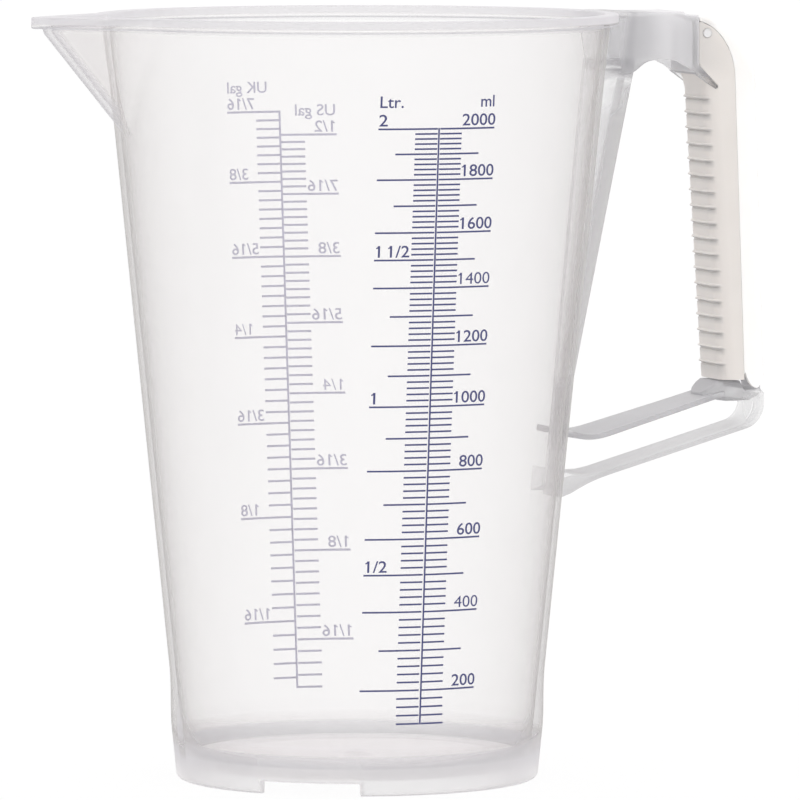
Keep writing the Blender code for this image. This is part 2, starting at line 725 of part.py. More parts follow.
def cover_loop(outer, seam):
    """One U-shaped section of the cover between its back and its seam."""
    start = Vector(outer)
    inward = Vector(seam) - start
    depth = inward.length
    inward.normalize()
    corner = min(COVER_CORNER, 0.8 * depth)
    half = HANDLE_HALF_WIDTH
    outside = [(depth, half)]
    steps = 3
    for step in range(steps + 1):
        turn = 0.5 * math.pi * step / steps
        outside.append((corner * (1.0 - math.sin(turn)), half - corner * (1.0 - math.cos(turn))))
    core = max(corner - COVER_WALL, 0.15 * MM)
    floor = min(COVER_WALL, 0.6 * depth)
    side = half - COVER_WALL
    inside = [(depth, side), (min(floor + core, 0.95 * depth), side), (floor, side - core)]
    section = outside + [(along, -y) for along, y in reversed(outside)]
    section += [(along, -y) for along, y in inside] + list(reversed(inside))
    points = []
    for along, side_offset in section:
        spot = start + inward * along
        points.append(place(spot.x, side_offset, spot.y))
    return points


def cover_end_outline():
    """What is cut from the cover's foot to leave a rounded end on each side."""
    return (
        (110.0 * MM, 105.0 * MM),
        (116.0 * MM, 114.4 * MM),
        (117.2 * MM, 111.6 * MM),
        (118.5 * MM, 110.0 * MM),
        (119.6 * MM, 109.7 * MM),
        (120.8 * MM, 110.8 * MM),
        (121.2 * MM, COVER_WEB_END),
        (126.0 * MM, COVER_WEB_END),
        (126.0 * MM, 105.0 * MM),
    )


def make_back_cover():
    """Smooth cover over the outside of the strap."""
    loops = []
    steps = 10
    for step in range(steps + 1):
        turn = COVER_START + (0.5 * math.pi - COVER_START) * step / steps
        loops.append(cover_loop(outer_point(turn), seam_point(max(turn, SEAM_START))))
    for height in COVER_HEIGHTS:
        loops.append(cover_loop((outer_reach(height), height), (seam_reach(height), height)))
    cover = loft("grip_back_cover", loops, COVER_PLASTIC)
    outside = HANDLE_HALF_WIDTH + CUTTER_MARGIN
    combine(cover, slab("cover_end", cover_end_outline(), -outside, outside), "DIFFERENCE")


# ---------------------------------------------------------------- grip pin

def pin_bar(name, radius, half_length, finish=None):
    """A round bar across the handle at the pin's place."""
    steps = 20
    loops = []
    for side in (-half_length, half_length):
        turns = [2.0 * math.pi * step / steps for step in range(steps)]
        loops.append([
            place(PIN_PLACE[0] + radius * math.cos(t), side, PIN_PLACE[1] + radius * math.sin(t))
            for t in turns
        ])
    return loft(name, loops, finish)


def make_grip_pin():
    """Cross pin that holds the shell to the frame; its heads stand a little proud."""
    pin_bar("grip_pin", PIN_RADIUS, HANDLE_HALF_WIDTH + PIN_PROUD, PIN_PLASTIC)


def main():
    for thing in list(bpy.data.objects):
        bpy.data.objects.remove(thing)
    make_jug_body()
    make_handle_frame()
    make_grip_shell()
    make_back_cover()
    make_grip_pin()


main()
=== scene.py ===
"""Looks of the two-litre graduated measuring jug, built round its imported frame.

The jug stands on z = 0, its spout points to -X and its handle to +X.  Lengths are
in metres.  Outlines are (reach, height) pairs: reach is the distance from the
vessel's own axis and height is measured from a datum 1 mm above the standing face.
"""

import math

import bmesh
import bpy
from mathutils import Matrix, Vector


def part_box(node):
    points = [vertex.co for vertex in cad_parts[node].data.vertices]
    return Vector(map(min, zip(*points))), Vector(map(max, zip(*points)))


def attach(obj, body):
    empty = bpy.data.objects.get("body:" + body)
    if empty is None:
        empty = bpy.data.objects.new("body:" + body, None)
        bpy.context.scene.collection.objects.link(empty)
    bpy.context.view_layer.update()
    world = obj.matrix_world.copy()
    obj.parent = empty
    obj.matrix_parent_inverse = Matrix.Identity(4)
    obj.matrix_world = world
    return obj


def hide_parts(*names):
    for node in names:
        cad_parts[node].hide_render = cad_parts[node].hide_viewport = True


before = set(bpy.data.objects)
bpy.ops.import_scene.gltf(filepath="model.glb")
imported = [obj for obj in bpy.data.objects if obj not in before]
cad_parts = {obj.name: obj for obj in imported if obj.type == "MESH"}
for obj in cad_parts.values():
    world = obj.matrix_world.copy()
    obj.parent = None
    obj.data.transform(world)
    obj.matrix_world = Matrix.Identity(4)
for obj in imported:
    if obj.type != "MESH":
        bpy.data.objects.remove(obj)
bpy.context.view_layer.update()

MM = 0.001


def mm(*lengths):
    """A row of lengths given in millimetres."""
    return tuple(length * MM for length in lengths)


BODY_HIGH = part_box("jug_body")[1]

# Vessel
STANDING_FACE = -1.0 * MM
HEIGHT = BODY_HIGH.z + STANDING_FACE
FOOT_RADIUS = 51.2 * MM
DRAFT = 0.1
WALL = 1.7 * MM
FLOOR_TOP = 5.4 * MM
FLOOR_UNDERSIDE = 3.2 * MM
FLOOR_FILLET = 5.0 * MM
FOOT_EDGE = 1.6 * MM
FOOT_FACE = 2.6 * MM
FOOT_SWELL = 1.15 * MM
FOOT_SWELL_SPAN = mm(13.0, 31.0)
SPRUE_RADIUS = 5.2 * MM
SPRUE_HEIGHT = 1.3 * MM
NOTCH_ANGLES = (0.0, math.radians(124.0), math.radians(-124.0))
NOTCH_WIDTH = 29.5 * MM
NOTCH_TOP = 2.8 * MM
RIM_HEIGHT = 3.4 * MM
RIM_OVERHANG = 2.3 * MM
RIM_EDGE = 0.5 * MM
SPOUT_FOOT = 184.0 * MM
SPOUT_HALF_ANGLE = math.radians(21.5)
KEEL_REACH = 99.7 * MM
KEEL_END = 96.0 * MM
KEEL_ROUNDING = 0.016
CREASE_ROUNDING = 1.2 * MM
SPOUT_LIMIT = math.radians(60.0)
SPOUT_FINE_ANGLE = math.radians(27.0)
BAND_FILLET = 0.35 * MM
FLOOR_STEP = 0.3 * MM
RIDGE_RADIUS = 41.0 * MM

# Handle
OUTER_CENTRE = mm(98.0, 200.0)
OUTER_RADII = mm(22.0, 19.8)
OUTER_LEAN = 0.0333
SEAM_CENTRE = mm(99.0, 200.0)
SEAM_RADII = mm(13.6, 17.3)
SEAM_LEAN = 0.036
HANDLE_HALF_WIDTH = 10.6 * MM
CLEARANCE = 0.3 * MM
SPINE_FOOT = mm(66.6, 121.5)
SPINE_LEAN = 0.2065
SPINE_HALF_WIDTH = mm(7.6, 5.0)
SPINE_WEB = 1.8 * MM
SPINE_SPAN = mm(79.0, 206.0)
SPINE_ROOT_DEPTH = 4.0 * MM
HOLLOW_SPAN = mm(101.0, 203.0)
SHARP = 0.01 * MM
SHARP_ANGLE = math.radians(30.0)
BRIDGE_TOP = 219.8 * MM
BRIDGE_STEP = 1.1 * MM
BRIDGE_WEB = 1.8 * MM
BRIDGE_END = 101.3 * MM
BULKHEAD_REACH = 99.9 * MM
STRAP = 1.25 * MM
STRAP_HALF_WIDTH = 9.4 * MM
STRAP_HIDDEN_HALF_WIDTH = 6.4 * MM
FOOT_HALF_WIDTH = 8.7 * MM
STRAP_START = 97.0 * MM
STRAP_REACH = 122.3 * MM
STRAP_CORNER = mm(105.0, 7.5)
ARM_SLOPE = math.atan(0.291)
ROOT_HALF_WIDTH = 13.5 * MM
ROOT_FLARE = mm(74.0, 61.0)
UPPER_ARM = 1.6 * MM
WALL_END = 56.0 * MM
GRIP_FACE = mm(103.6, 194.0)
GRIP_LEAN = 0.0642
GRIP_WALL = 1.8 * MM
GRIP_CORNER = 4.5 * MM
GRIP_SPAN = mm(112.2, 216.75)
GRIP_RIM = 0.5 * MM
GRIP_TUCK = mm(200.0, 5.0)
GRIP_SQUARE = mm(197.0, 7.0)
SQUARE_CORNER = 0.4 * MM
SEAM_BEVEL = 0.08 * MM
RIB_COUNT = 18
RIB_SPAN = mm(117.0, 194.6)
RIB_PROUD = 0.55 * MM
RIB_GROOVE = 0.28 * MM
RIB_HALF_HEIGHT = 0.55 * MM
RIB_TURN = (36.0, 60.0)
COVER_WALL = 1.5 * MM
COVER_CORNER = 4.0 * MM
COVER_FOOT = 109.4 * MM
COVER_WEB_END = 113.0 * MM
COVER_START = math.radians(9.0)
SEAM_START = math.radians(11.0)
COVER_LEVEL = math.radians(35.0)
SEAM = 0.06 * MM
BRIDGE_ZONE = 190.0 * MM
SPINE_ZONE = mm(96.0, 113.0)
PIN_PLACE = mm(103.9, 213.5)
PIN_RADIUS = 1.4 * MM
PIN_PROUD = 0.3 * MM
CUT_PAST = 1.0 * MM

# Printed scales
MILLILITRE = 1.0e-6
SCALE_WALL = 1.9 * MM
SCALE_FLOOR = 4.0 * MM
SCALE_DRAFT = 0.095
INK_BASE = 0.015 * MM
INK_THICKNESS = 0.04 * MM
INK_LINE = 0.5 * MM
INK_SPREAD = 0.042 * MM
GALLON_LINE = 0.62 * MM
DIGIT_HEIGHT = 3.3 * MM
LABEL_RISE = 0.85 * MM
DIGIT_STRETCH = 1.16
FRACTION_GAP = 0.55
FRACTION_STRETCH = 1.11
WORD_STRETCH = 1.06
LITRE_SHIFT = 0.8 * MM
LITRE_SIDE = math.radians(-90.0)
GALLON_SIDE = math.radians(90.55)
GALLON_LIFT = 0.7 * MM
LITRE_LIFT = 0.85 * MM
LITRE_FIRST = 120
LITRE_LAST = 2000
LITRE_STEP = 20
LITRE_MARKS = mm(6.95, 12.5, 17.5)
LITRE_HEADING = 5.2 * MM
GALLON_MARKS = mm(7.5, 17.1)
GALLON_HEADING = 4.8 * MM
GALLON_DIVISIONS = 8
LABEL_PAST = 0.35 * MM
TICK_GAP = 0.12 * MM
US_SIXTEENTH = 236.588
UK_SIXTEENTH = 284.131

# Camera
CAMERA_AZIMUTH = math.radians(-18.5)
CAMERA_DISTANCE = 2.680
CAMERA_HEIGHT = 0.3086
CAMERA_LENS = 418.5
CAMERA_TARGET = mm(11.8, -3.9, 108.3)


def wall_radius(height):
    """Outer radius of the plain conical wall."""
    return FOOT_RADIUS + DRAFT * height


AXIS_X = BODY_HIGH.x - wall_radius(HEIGHT - RIM_EDGE) - RIM_OVERHANG


def place(reach, side, height):
    """A point given from the vessel's axis."""
    return Vector((reach + AXIS_X, side, height - STANDING_FACE))


# ---------------------------------------------------------------- materials

ABSORPTION = 6.0
SKIN_DEPTH = 0.00004
# Haze tints for a thin wall, a thick edge, a broad lump, a thick bend and a grazing view; the lump's pale
# tint is painted light and the bend's dark tint is painted shade.
WALL_TINTS_WITH_PAINTED_SHADING = (
    (0.68, 0.615, 0.62, 1.0),
    (0.76, 0.755, 0.78, 1.0),
    (0.97, 0.965, 0.975, 1.0),
    (0.60, 0.60, 0.63, 1.0),
    (0.50, 0.50, 0.495, 1.0),
)
# The frame's haze tints in the same order: its dark thick-edge tint is partly thickness and partly painted
# shade on the upper arm and the grip's foot, its pale lump tint is painted light on the bridge, and its
# bend tint is painted shade along the spine's edge.
FRAME_TINTS_WITH_PAINTED_SHADING = (
    (0.78, 0.78, 0.80, 1.0),
    (0.58, 0.58, 0.60, 1.0),
    (0.93, 0.93, 0.945, 1.0),
    (0.73, 0.73, 0.735, 1.0),
    (0.69, 0.69, 0.70, 1.0),
)
GRIP_COLOURS = ((0.75, 0.72, 0.695, 1.0), (0.71, 0.68, 0.655, 1.0))
COVER_COLOURS = ((0.96, 0.955, 0.945, 1.0), (0.93, 0.925, 0.915, 1.0))
PIN_COLOURS = ((0.78, 0.78, 0.79, 1.0), (0.74, 0.74, 0.75, 1.0))
SHADE_COLOUR = (0.50, 0.49, 0.485, 1.0)
INK_COLOURS = ((0.055, 0.063, 0.19, 1.0), (0.13, 0.137, 0.28, 1.0))
# Painted light: paler copies of the ink colours for the faces seen through the wall.
INK_UNDERSIDE_LIGHTENED_COLOURS = ((0.72, 0.72, 0.88, 1.0), (0.78, 0.78, 0.90, 1.0))


def add_node(tree, kind, inputs=None, **settings):
    """Add a node; an input may be a value or another node's output."""
    node = tree.nodes.new(kind)
    for name, value in settings.items():
        setattr(node, name, value)
    for key, value in (inputs or {}).items():
        socket = node.inputs[key]
        if isinstance(value, bpy.types.NodeSocket):
            tree.links.new(value, socket)
        else:
            socket.default_value = value
    return node


def math_node(tree, operation, first, second=0.0, third=0.0):
    """Output of a Math node."""
    inputs = {0: first, 1: second, 2: third}
    return add_node(tree, "ShaderNodeMath", inputs, operation=operation).outputs[0]


def blend_colour(tree, factor, first, second):
    """Output of a colour Mix node."""
    inputs = {0: factor, 6: first, 7: second}
    return add_node(tree, "ShaderNodeMix", inputs, data_type="RGBA").outputs[2]


def noise(tree, scale, detail=3.0):
    """Noise over the object's own coordinates, which are in metres."""
    coordinates = add_node(tree, "ShaderNodeTexCoord").outputs["Object"]
    inputs = {"Vector": coordinates, "Scale": scale, "Detail": detail}
    return add_node(tree, "ShaderNodeTexNoise", inputs).outputs["Fac"]


def new_material(name):
    """An empty node material and its output node."""
    material = bpy.data.materials.new(name)
    material.use_nodes = True
    tree = material.node_tree
    tree.nodes.clear()
    return material, tree, tree.nodes.new("ShaderNodeOutputMaterial")


def gloss_share(tree, at_front, at_graze):
    """Share of light mirrored by the outer skin: little face on, more at a graze."""
    facing = add_node(tree, "ShaderNodeLayerWeight", {"Blend": 0.5}).outputs["Facing"]
    steep = math_node(tree, "POWER", facing, 5.0)
    share = math_node(tree, "MULTIPLY_ADD", steep, at_graze - at_front, at_front)
    backfacing = add_node(tree, "ShaderNodeNewGeometry").outputs["Backfacing"]
    return math_node(tree, "MULTIPLY", share, math_node(tree, "SUBTRACT", 1.0, backfacing))


def haze_share(tree, facing, face_on):
    """Share of light lost to haze at one surface, more where the wall is seen at a slant."""
    cosine = math_node(tree, "MAXIMUM", math_node(tree, "SUBTRACT", 1.0, facing), 0.07)
    path = math_node(tree, "POWER", cosine, -1.5)
    clear = math_node(tree, "POWER", math_node(tree, "SUBTRACT", 1.0, face_on), path)
    return math_node(tree, "SUBTRACT", 1.0, clear)


def polypropylene(name, tints, haze, roughness):
    """Natural polypropylene: clear light passes straight on and the haze scatters the rest.

    The mesh's bulk_and_painted_shading attribute says how thick a spot is and where
    light or shade is painted: 0 a thin wall, 1 a thick edge, 2 a broad lump, whose pale
    tint is painted light, and -1 a thick bend, whose dark tint is painted shade.  tints
    are the haze's colours at those four and at a grazing view, and haze is its share at
    the first two.
    """
    material, tree, output = new_material(name)
    bulk_and_painted_shading = add_node(tree, "ShaderNodeAttribute", attribute_name="bulk_and_painted_shading").outputs["Fac"]
    thick = math_node(tree, "MINIMUM", math_node(tree, "ABSOLUTE", bulk_and_painted_shading), 1.0)
    painted_glow = math_node(tree, "MAXIMUM", math_node(tree, "SUBTRACT", bulk_and_painted_shading, 1.0), 0.0)
    bend = math_node(tree, "MAXIMUM", math_node(tree, "MULTIPLY", bulk_and_painted_shading, -1.0), 0.0)
    facing = add_node(tree, "ShaderNodeLayerWeight", {"Blend": 0.5}).outputs["Facing"]
    cloud = noise(tree, 55.0, 4.0)
    grain = noise(tree, 900.0, 2.0)
    ripple = noise(tree, 190.0, 3.0)

    # The lump's pale tint paints light and the bend's dark tint paints shade.
    tint = blend_colour(tree, facing, tints[0], tints[4])
    tint = blend_colour(tree, thick, tint, tints[1])
    tint = blend_colour(tree, painted_glow, tint, tints[2])
    tint = blend_colour(tree, bend, tint, tints[3])
    uneven = math_node(tree, "MULTIPLY", cloud, 0.12)
    tint = blend_colour(tree, uneven, tint, (0.80, 0.80, 0.82, 1.0))
    face_on = math_node(tree, "MULTIPLY_ADD", thick, haze[1] - haze[0], 0.8 * haze[0])
    face_on = math_node(tree, "MULTIPLY_ADD", cloud, 0.4 * haze[0], face_on)
    face_on = math_node(tree, "MULTIPLY_ADD", painted_glow, -0.1, face_on)

    height = math_node(tree, "MULTIPLY_ADD", ripple, 0.8, math_node(tree, "MULTIPLY", grain, 0.2))
    bump_inputs = {"Strength": 0.35, "Distance": SKIN_DEPTH, "Height": height}
    bump = add_node(tree, "ShaderNodeBump", bump_inputs).outputs["Normal"]
    rough = math_node(tree, "MULTIPLY_ADD", cloud, 0.12, roughness - 0.06)

    reflected = add_node(tree, "ShaderNodeBsdfDiffuse", {"Color": tint, "Normal": bump}).outputs[0]
    passed = add_node(tree, "ShaderNodeBsdfTranslucent", {"Color": tint}).outputs[0]
    scatter = add_node(tree, "ShaderNodeMixShader", {0: 0.5, 1: reflected, 2: passed}).outputs[0]
    clear = add_node(tree, "ShaderNodeBsdfTransparent").outputs[0]
    body_inputs = {0: haze_share(tree, facing, face_on), 1: clear, 2: scatter}
    body = add_node(tree, "ShaderNodeMixShader", body_inputs).outputs[0]
    gloss_inputs = {"Color": (1.0, 1.0, 1.0, 1.0), "Roughness": rough, "Normal": bump}
    gloss = add_node(tree, "ShaderNodeBsdfGlossy", gloss_inputs).outputs[0]
    surface = {0: gloss_share(tree, 0.03, 0.14), 1: body, 2: gloss}
    tree.links.new(add_node(tree, "ShaderNodeMixShader", surface).outputs[0], output.inputs["Surface"])
    volume = {"Color": (0.5, 0.485, 0.49, 1.0), "Density": 2.0 * ABSORPTION}
    tree.links.new(add_node(tree, "ShaderNodeVolumeAbsorption", volume).outputs[0], output.inputs["Volume"])
    return material


def moulded_plastic(name, light, dark, roughness, glow):
    """Nearly opaque plastic with a fine moulded skin and a little light inside."""
    material, tree, output = new_material(name)
    cloud = noise(tree, 120.0, 3.0)
    grain = noise(tree, 1600.0, 2.0)
    height = math_node(tree, "MULTIPLY_ADD", grain, 0.6, math_node(tree, "MULTIPLY", cloud, 0.4))
    bump_inputs = {"Strength": 0.30, "Distance": SKIN_DEPTH, "Height": height}
    bump = add_node(tree, "ShaderNodeBump", bump_inputs).outputs["Normal"]
    # Painted shade: the colour blends towards SHADE_COLOUR where the attribute asks.
    shade = add_node(tree, "ShaderNodeAttribute", attribute_name="bulk_and_painted_shading").outputs["Fac"]
    tint = blend_colour(tree, cloud, light, dark)
    shader = add_node(tree, "ShaderNodeBsdfPrincipled", {
        "Base Color": blend_colour(tree, shade, tint, SHADE_COLOUR),
        "Roughness": math_node(tree, "MULTIPLY_ADD", grain, 0.14, roughness - 0.07),
        "IOR": 1.49,
        "Subsurface Weight": glow,
        "Subsurface Radius": (1.0, 0.9, 0.8),
        "Subsurface Scale": 0.0018,
        "Normal": bump,
    })
    tree.links.new(shader.outputs[0], output.inputs["Surface"])
    return material


def printed_ink(name, colour, worn, glow):
    """Screen-printed ink, uneven where it went on thin; some light comes through it."""
    material, tree, output = new_material(name)
    patch = noise(tree, 700.0, 4.0)
    uneven = math_node(tree, "MULTIPLY", patch, 0.45)
    tint = blend_colour(tree, uneven, colour, worn)
    shader = add_node(tree, "ShaderNodeBsdfPrincipled", {
        "Base Color": tint,
        "Roughness": math_node(tree, "MULTIPLY_ADD", patch, 0.2, 0.35),
        "IOR": 1.45,
    }).outputs[0]
    passed = add_node(tree, "ShaderNodeBsdfTranslucent", {"Color": tint}).outputs[0]
    mixed = add_node(tree, "ShaderNodeMixShader", {0: glow, 1: shader, 2: passed}).outputs[0]
    tree.links.new(mixed, output.inputs["Surface"])
    return material


# ---------------------------------------------------------------- mesh helpers

def arc(centre, radius, start, end, steps):
    """Points round an arc; angles in degrees, from the first axis to the second."""
    points = []
    for step in range(steps + 1):
        turn = math.radians(start + (end - start) * step / steps)
        points.append((centre[0] + radius * math.cos(turn), centre[1] + radius * math.sin(turn)))
    return points


def smooth_rows(rows, steps):
    """Rows of numbers with more rows between them, along a Catmull-Rom curve."""
    result = []
    last = len(rows) - 1
    for index in range(last):
        before, start = rows[max(index - 1, 0)], rows[index]
        end, after = rows[index + 1], rows[min(index + 2, last)]
        for step in range(steps):
            t = step / steps
            row = []
            for a, b, c, d in zip(before, start, end, after):
                bend = (2 * a - 5 * b + 4 * c - d) * t * t + (3 * b - a - 3 * c + d) * t ** 3
                row.append(b + 0.5 * ((c - a) * t + bend))
            result.append(tuple(row))
    result.append(tuple(rows[-1]))
    return result


def rounded(corners, radii, steps=4):
    """A closed outline with its corners rounded, one radius for each corner."""
    result = []
    for index, radius in enumerate(radii):
        corner = Vector(corners[index])
        back = Vector(corners[index - 1]) - corner
        ahead = Vector(corners[(index + 1) % len(corners)]) - corner
        reach = radius / math.tan(0.5 * back.angle(ahead))
        start = corner + back.normalized() * min(reach, 0.48 * back.length)
        end = corner + ahead.normalized() * min(reach, 0.48 * ahead.length)
        for step in range(steps + 1):
            t = step / steps
            result.append(start.lerp(corner, t).lerp(corner.lerp(end, t), t))
    return result


def turns_round(steps):
    """Angles of the corners of a round outline."""
    return [2.0 * math.pi * step / steps for step in range(steps)]


def add_loops(mesh_builder, loops):
    """Skin a run of closed loops that all have the same number of points."""
    rings = [[mesh_builder.verts.new(point) for point in loop] for loop in loops]
    for lower, upper in zip(rings, rings[1:]):
        for index in range(len(lower)):
            after = (index + 1) % len(lower)
            mesh_builder.faces.new((lower[index], lower[after], upper[after], upper[index]))
    return rings


def add_solid(mesh_builder, loops):
    """Skin a run of loops and close both of its ends."""
    rings = add_loops(mesh_builder, loops)
    mesh_builder.faces.new(rings[0])
    mesh_builder.faces.new(rings[-1])


def finish_object(name, mesh_builder):
    """Turn a bmesh into an object whose faces point out."""
    bmesh.ops.recalc_face_normals(mesh_builder, faces=mesh_builder.faces)
    mesh = bpy.data.meshes.new(name)
    mesh_builder.to_mesh(mesh)
    mesh_builder.free()
    thing = bpy.data.objects.new(name, mesh)
    bpy.context.scene.collection.objects.link(thing)
    return thing


def loft(name, loops):
    """A closed solid through a run of loops, with flat ends."""
    mesh_builder = bmesh.new()
    add_solid(mesh_builder, loops)
    return finish_object(name, mesh_builder)


def slab(name, outline, near, far, edge=0.0):
    """A (reach, height) outline drawn out along Y, its two rims eased by edge."""
    middle = Vector((sum(p[0] for p in outline), sum(p[1] for p in outline))) / len(outline)
    loops = []
    levels = [(near, edge), (near + 0.3 * edge, 0.3 * edge), (near + edge, 0.0)]
    levels += [(far - edge, 0.0), (far - 0.3 * edge, 0.3 * edge), (far, edge)]
    for side, inset in levels if edge > 0.0 else ((near, 0.0), (far, 0.0)):
        loop = []
        for point in outline:
            inward = middle - Vector(point)
            spot = Vector(point) + inward.normalized() * inset
            loop.append(place(spot.x, side, spot.y))
        loops.append(loop)
    return loft(name, loops)


def combine(thing, tools, operation):
    """Join the tools to the thing, or cut them from it, one after another."""
    for tool in tools:
        modifier = thing.modifiers.new(tool.name, "BOOLEAN")
        modifier.operation = operation
        modifier.solver = "EXACT"
        modifier.object = tool
    graph = bpy.context.evaluated_depsgraph_get()
    mesh = bpy.data.meshes.new_from_object(thing.evaluated_get(graph))
    thing.modifiers.clear()
    old = thing.data
    thing.data = mesh
    bpy.data.meshes.remove(old)
    for tool in tools:
        bpy.data.objects.remove(tool)


def dress(thing, material, nodes):
    """Shade a finished piece, give it its material and tie it to the frame."""
    mesh = thing.data
    mesh.name = thing.name
    mesh.materials.clear()
    mesh.materials.append(material)
    for polygon in mesh.polygons:
        polygon.material_index = 0
    mesh.shade_smooth()
    mesh.set_sharp_from_angle(angle=SHARP_ANGLE)
    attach(thing, "root")
    if nodes:
        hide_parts(*nodes)


def set_bulk(thing, rule):
    """Store the value that a rule gives for each point, seen from the vessel's axis: thickness and painted
    light and shade on the translucent pieces, painted shade on the others.
    """
    attribute = thing.data.attributes.new("bulk_and_painted_shading", "FLOAT", "POINT")
    for vertex, value in zip(thing.data.vertices, attribute.data):
        value.value = rule(vertex.co - place(0.0, 0.0, 0.0))


def ramp(value, start, end):
    """0 before start, 1 after end, smooth between them."""
    t = min(max((value - start) / (end - start), 0.0), 1.0)
    return t * t * (3.0 - 2.0 * t)


# ---------------------------------------------------------------- vessel

def soft_max(first, second, blend):
    """The larger of two lengths, rounded off where they cross."""
    return 0.5 * (first + second + math.hypot(first - second, blend))


def foot_swell(height):
    """How far the outside stands out from the plain cone near the foot."""
    return FOOT_SWELL * (1.0 - ramp(height, FOOT_SWELL_SPAN[0], FOOT_SWELL_SPAN[1]))


def outline_radius(angle, height, inset):
    """Distance from the axis to the vessel's outline, at an angle from the spout."""
    plain = wall_radius(height) - inset
    rise = (height - SPOUT_FOOT) / (HEIGHT - SPOUT_FOOT)
    if rise <= 0.0 or abs(angle) > SPOUT_LIMIT:
        return plain
    opening = rise * SPOUT_HALF_ANGLE
    foot = wall_radius(SPOUT_FOOT)
    keel = min(foot + rise * (KEEL_REACH - foot), KEEL_END)
    half_width = wall_radius(height) * math.sin(opening)
    run = keel - wall_radius(height) * math.cos(opening)
    lean = math.atan2(half_width, run)
    distance = keel * math.sin(lean) - inset
    turned = math.hypot(angle, KEEL_ROUNDING) - (0.5 * math.pi - lean)
    side = distance / math.cos(turned)
    return soft_max(plain, side, CREASE_ROUNDING * rise)


def column_angles():
    """Angles of the vessel's upright mesh lines, closer together at the spout."""
    limit = SPOUT_FINE_ANGLE
    fine_count = 120
    coarse_count = 156
    fine = [-limit + 2.0 * limit * step / fine_count for step in range(fine_count)]
    rest = 2.0 * math.pi - 2.0 * limit
    return fine + [limit + rest * step / coarse_count for step in range(coarse_count)]


COLUMNS = [math.atan2(math.sin(angle), math.cos(angle)) for angle in column_angles()]


def wall_ring(height, inset):
    """A ring that follows the vessel's outline."""
    points = []
    for angle in COLUMNS:
        radius = outline_radius(angle, height, inset)
        points.append(place(-radius * math.cos(angle), radius * math.sin(angle), height))
    return points


def band_ring(height, inset):
    """A ring of the rim band, whose outline is the same all the way up it."""
    outline = wall_ring(HEIGHT - RIM_EDGE, inset)
    return [Vector((point.x, point.y, height - STANDING_FACE)) for point in outline]


def round_ring(height, radius):
    """A plain circular ring."""
    return [place(-radius * math.cos(a), radius * math.sin(a), height) for a in COLUMNS]


def edge_rings(centre, radius, start, end, steps=4, ring=wall_ring):
    """Rings round an edge about an (inset, height) centre: 0 degrees is outside, 90 the top."""
    inset, height = centre
    return [ring(level, -outward) for outward, level in arc((-inset, height), radius, start, end, steps)]


def wall_levels(start, end, count):
    """Heights up a stretch of wall."""
    return [start + (end - start) * step / count for step in range(count + 1)]


def vessel_rings():
    """Rings from the middle of the underside, up the outside, down to the floor."""
    ring_inner = FOOT_EDGE - FOOT_SWELL + FOOT_FACE
    low = FLOOR_UNDERSIDE - FLOOR_STEP
    rings = [round_ring(low, 2.5 * MM), round_ring(low, 12.0 * MM)]
    rings += [round_ring(FLOOR_UNDERSIDE, 12.4 * MM), round_ring(FLOOR_UNDERSIDE, 30.0 * MM)]
    rings.append(wall_ring(FLOOR_UNDERSIDE, ring_inner + 1.2 * MM))
    rings += edge_rings((ring_inner + 1.2 * MM, FLOOR_UNDERSIDE - 0.8 * MM), 0.8 * MM, 90.0, 0.0)
    inner_edge = (ring_inner - 0.3 * MM, STANDING_FACE + 0.3 * MM)
    rings += edge_rings(inner_edge, 0.3 * MM, 180.0, 270.0, 2)
    outer_edge = (FOOT_EDGE - FOOT_SWELL, STANDING_FACE + FOOT_EDGE)
    rings += edge_rings(outer_edge, FOOT_EDGE, -90.0, 0.0, 8)
    swell_top, swell_start = FOOT_SWELL_SPAN
    for level in wall_levels(swell_top, swell_start, 8):
        rings.append(wall_ring(level, -foot_swell(level)))
    rings += [wall_ring(level, 0.0) for level in wall_levels(swell_start, SPOUT_FOOT, 24)[1:]]
    band_foot = HEIGHT - RIM_HEIGHT
    wall_top = band_foot - BAND_FILLET
    rings += [wall_ring(level, 0.0) for level in wall_levels(SPOUT_FOOT, wall_top, 26)[1:-1]]
    rings += edge_rings((-BAND_FILLET, wall_top), BAND_FILLET, 180.0, 90.0, 3)
    band_edge = RIM_EDGE - RIM_OVERHANG
    rings += edge_rings((band_edge, band_foot + RIM_EDGE), RIM_EDGE, -90.0, 0.0, 4, band_ring)
    band_levels = wall_levels(band_foot + RIM_EDGE, HEIGHT - RIM_EDGE, 10)[1:-1]
    rings += [band_ring(level, -RIM_OVERHANG) for level in band_levels]
    rings += edge_rings((band_edge, HEIGHT - RIM_EDGE), RIM_EDGE, 0.0, 90.0, 4, band_ring)
    rings += edge_rings((WALL - RIM_EDGE, HEIGHT - RIM_EDGE), RIM_EDGE, 90.0, 180.0)
    rings += [wall_ring(level, WALL) for level in wall_levels(HEIGHT - RIM_EDGE, band_foot, 10)[1:]]
    rings += [wall_ring(level, WALL) for level in wall_levels(band_foot, SPOUT_FOOT, 26)[1:]]
    floor_foot = FLOOR_TOP + FLOOR_FILLET
    rings += [wall_ring(level, WALL) for level in wall_levels(SPOUT_FOOT, floor_foot, 24)[1:-1]]
    rings += edge_rings((WALL + FLOOR_FILLET, floor_foot), FLOOR_FILLET, 0.0, -90.0, 10)
    rings += floor_rings()
    return rings


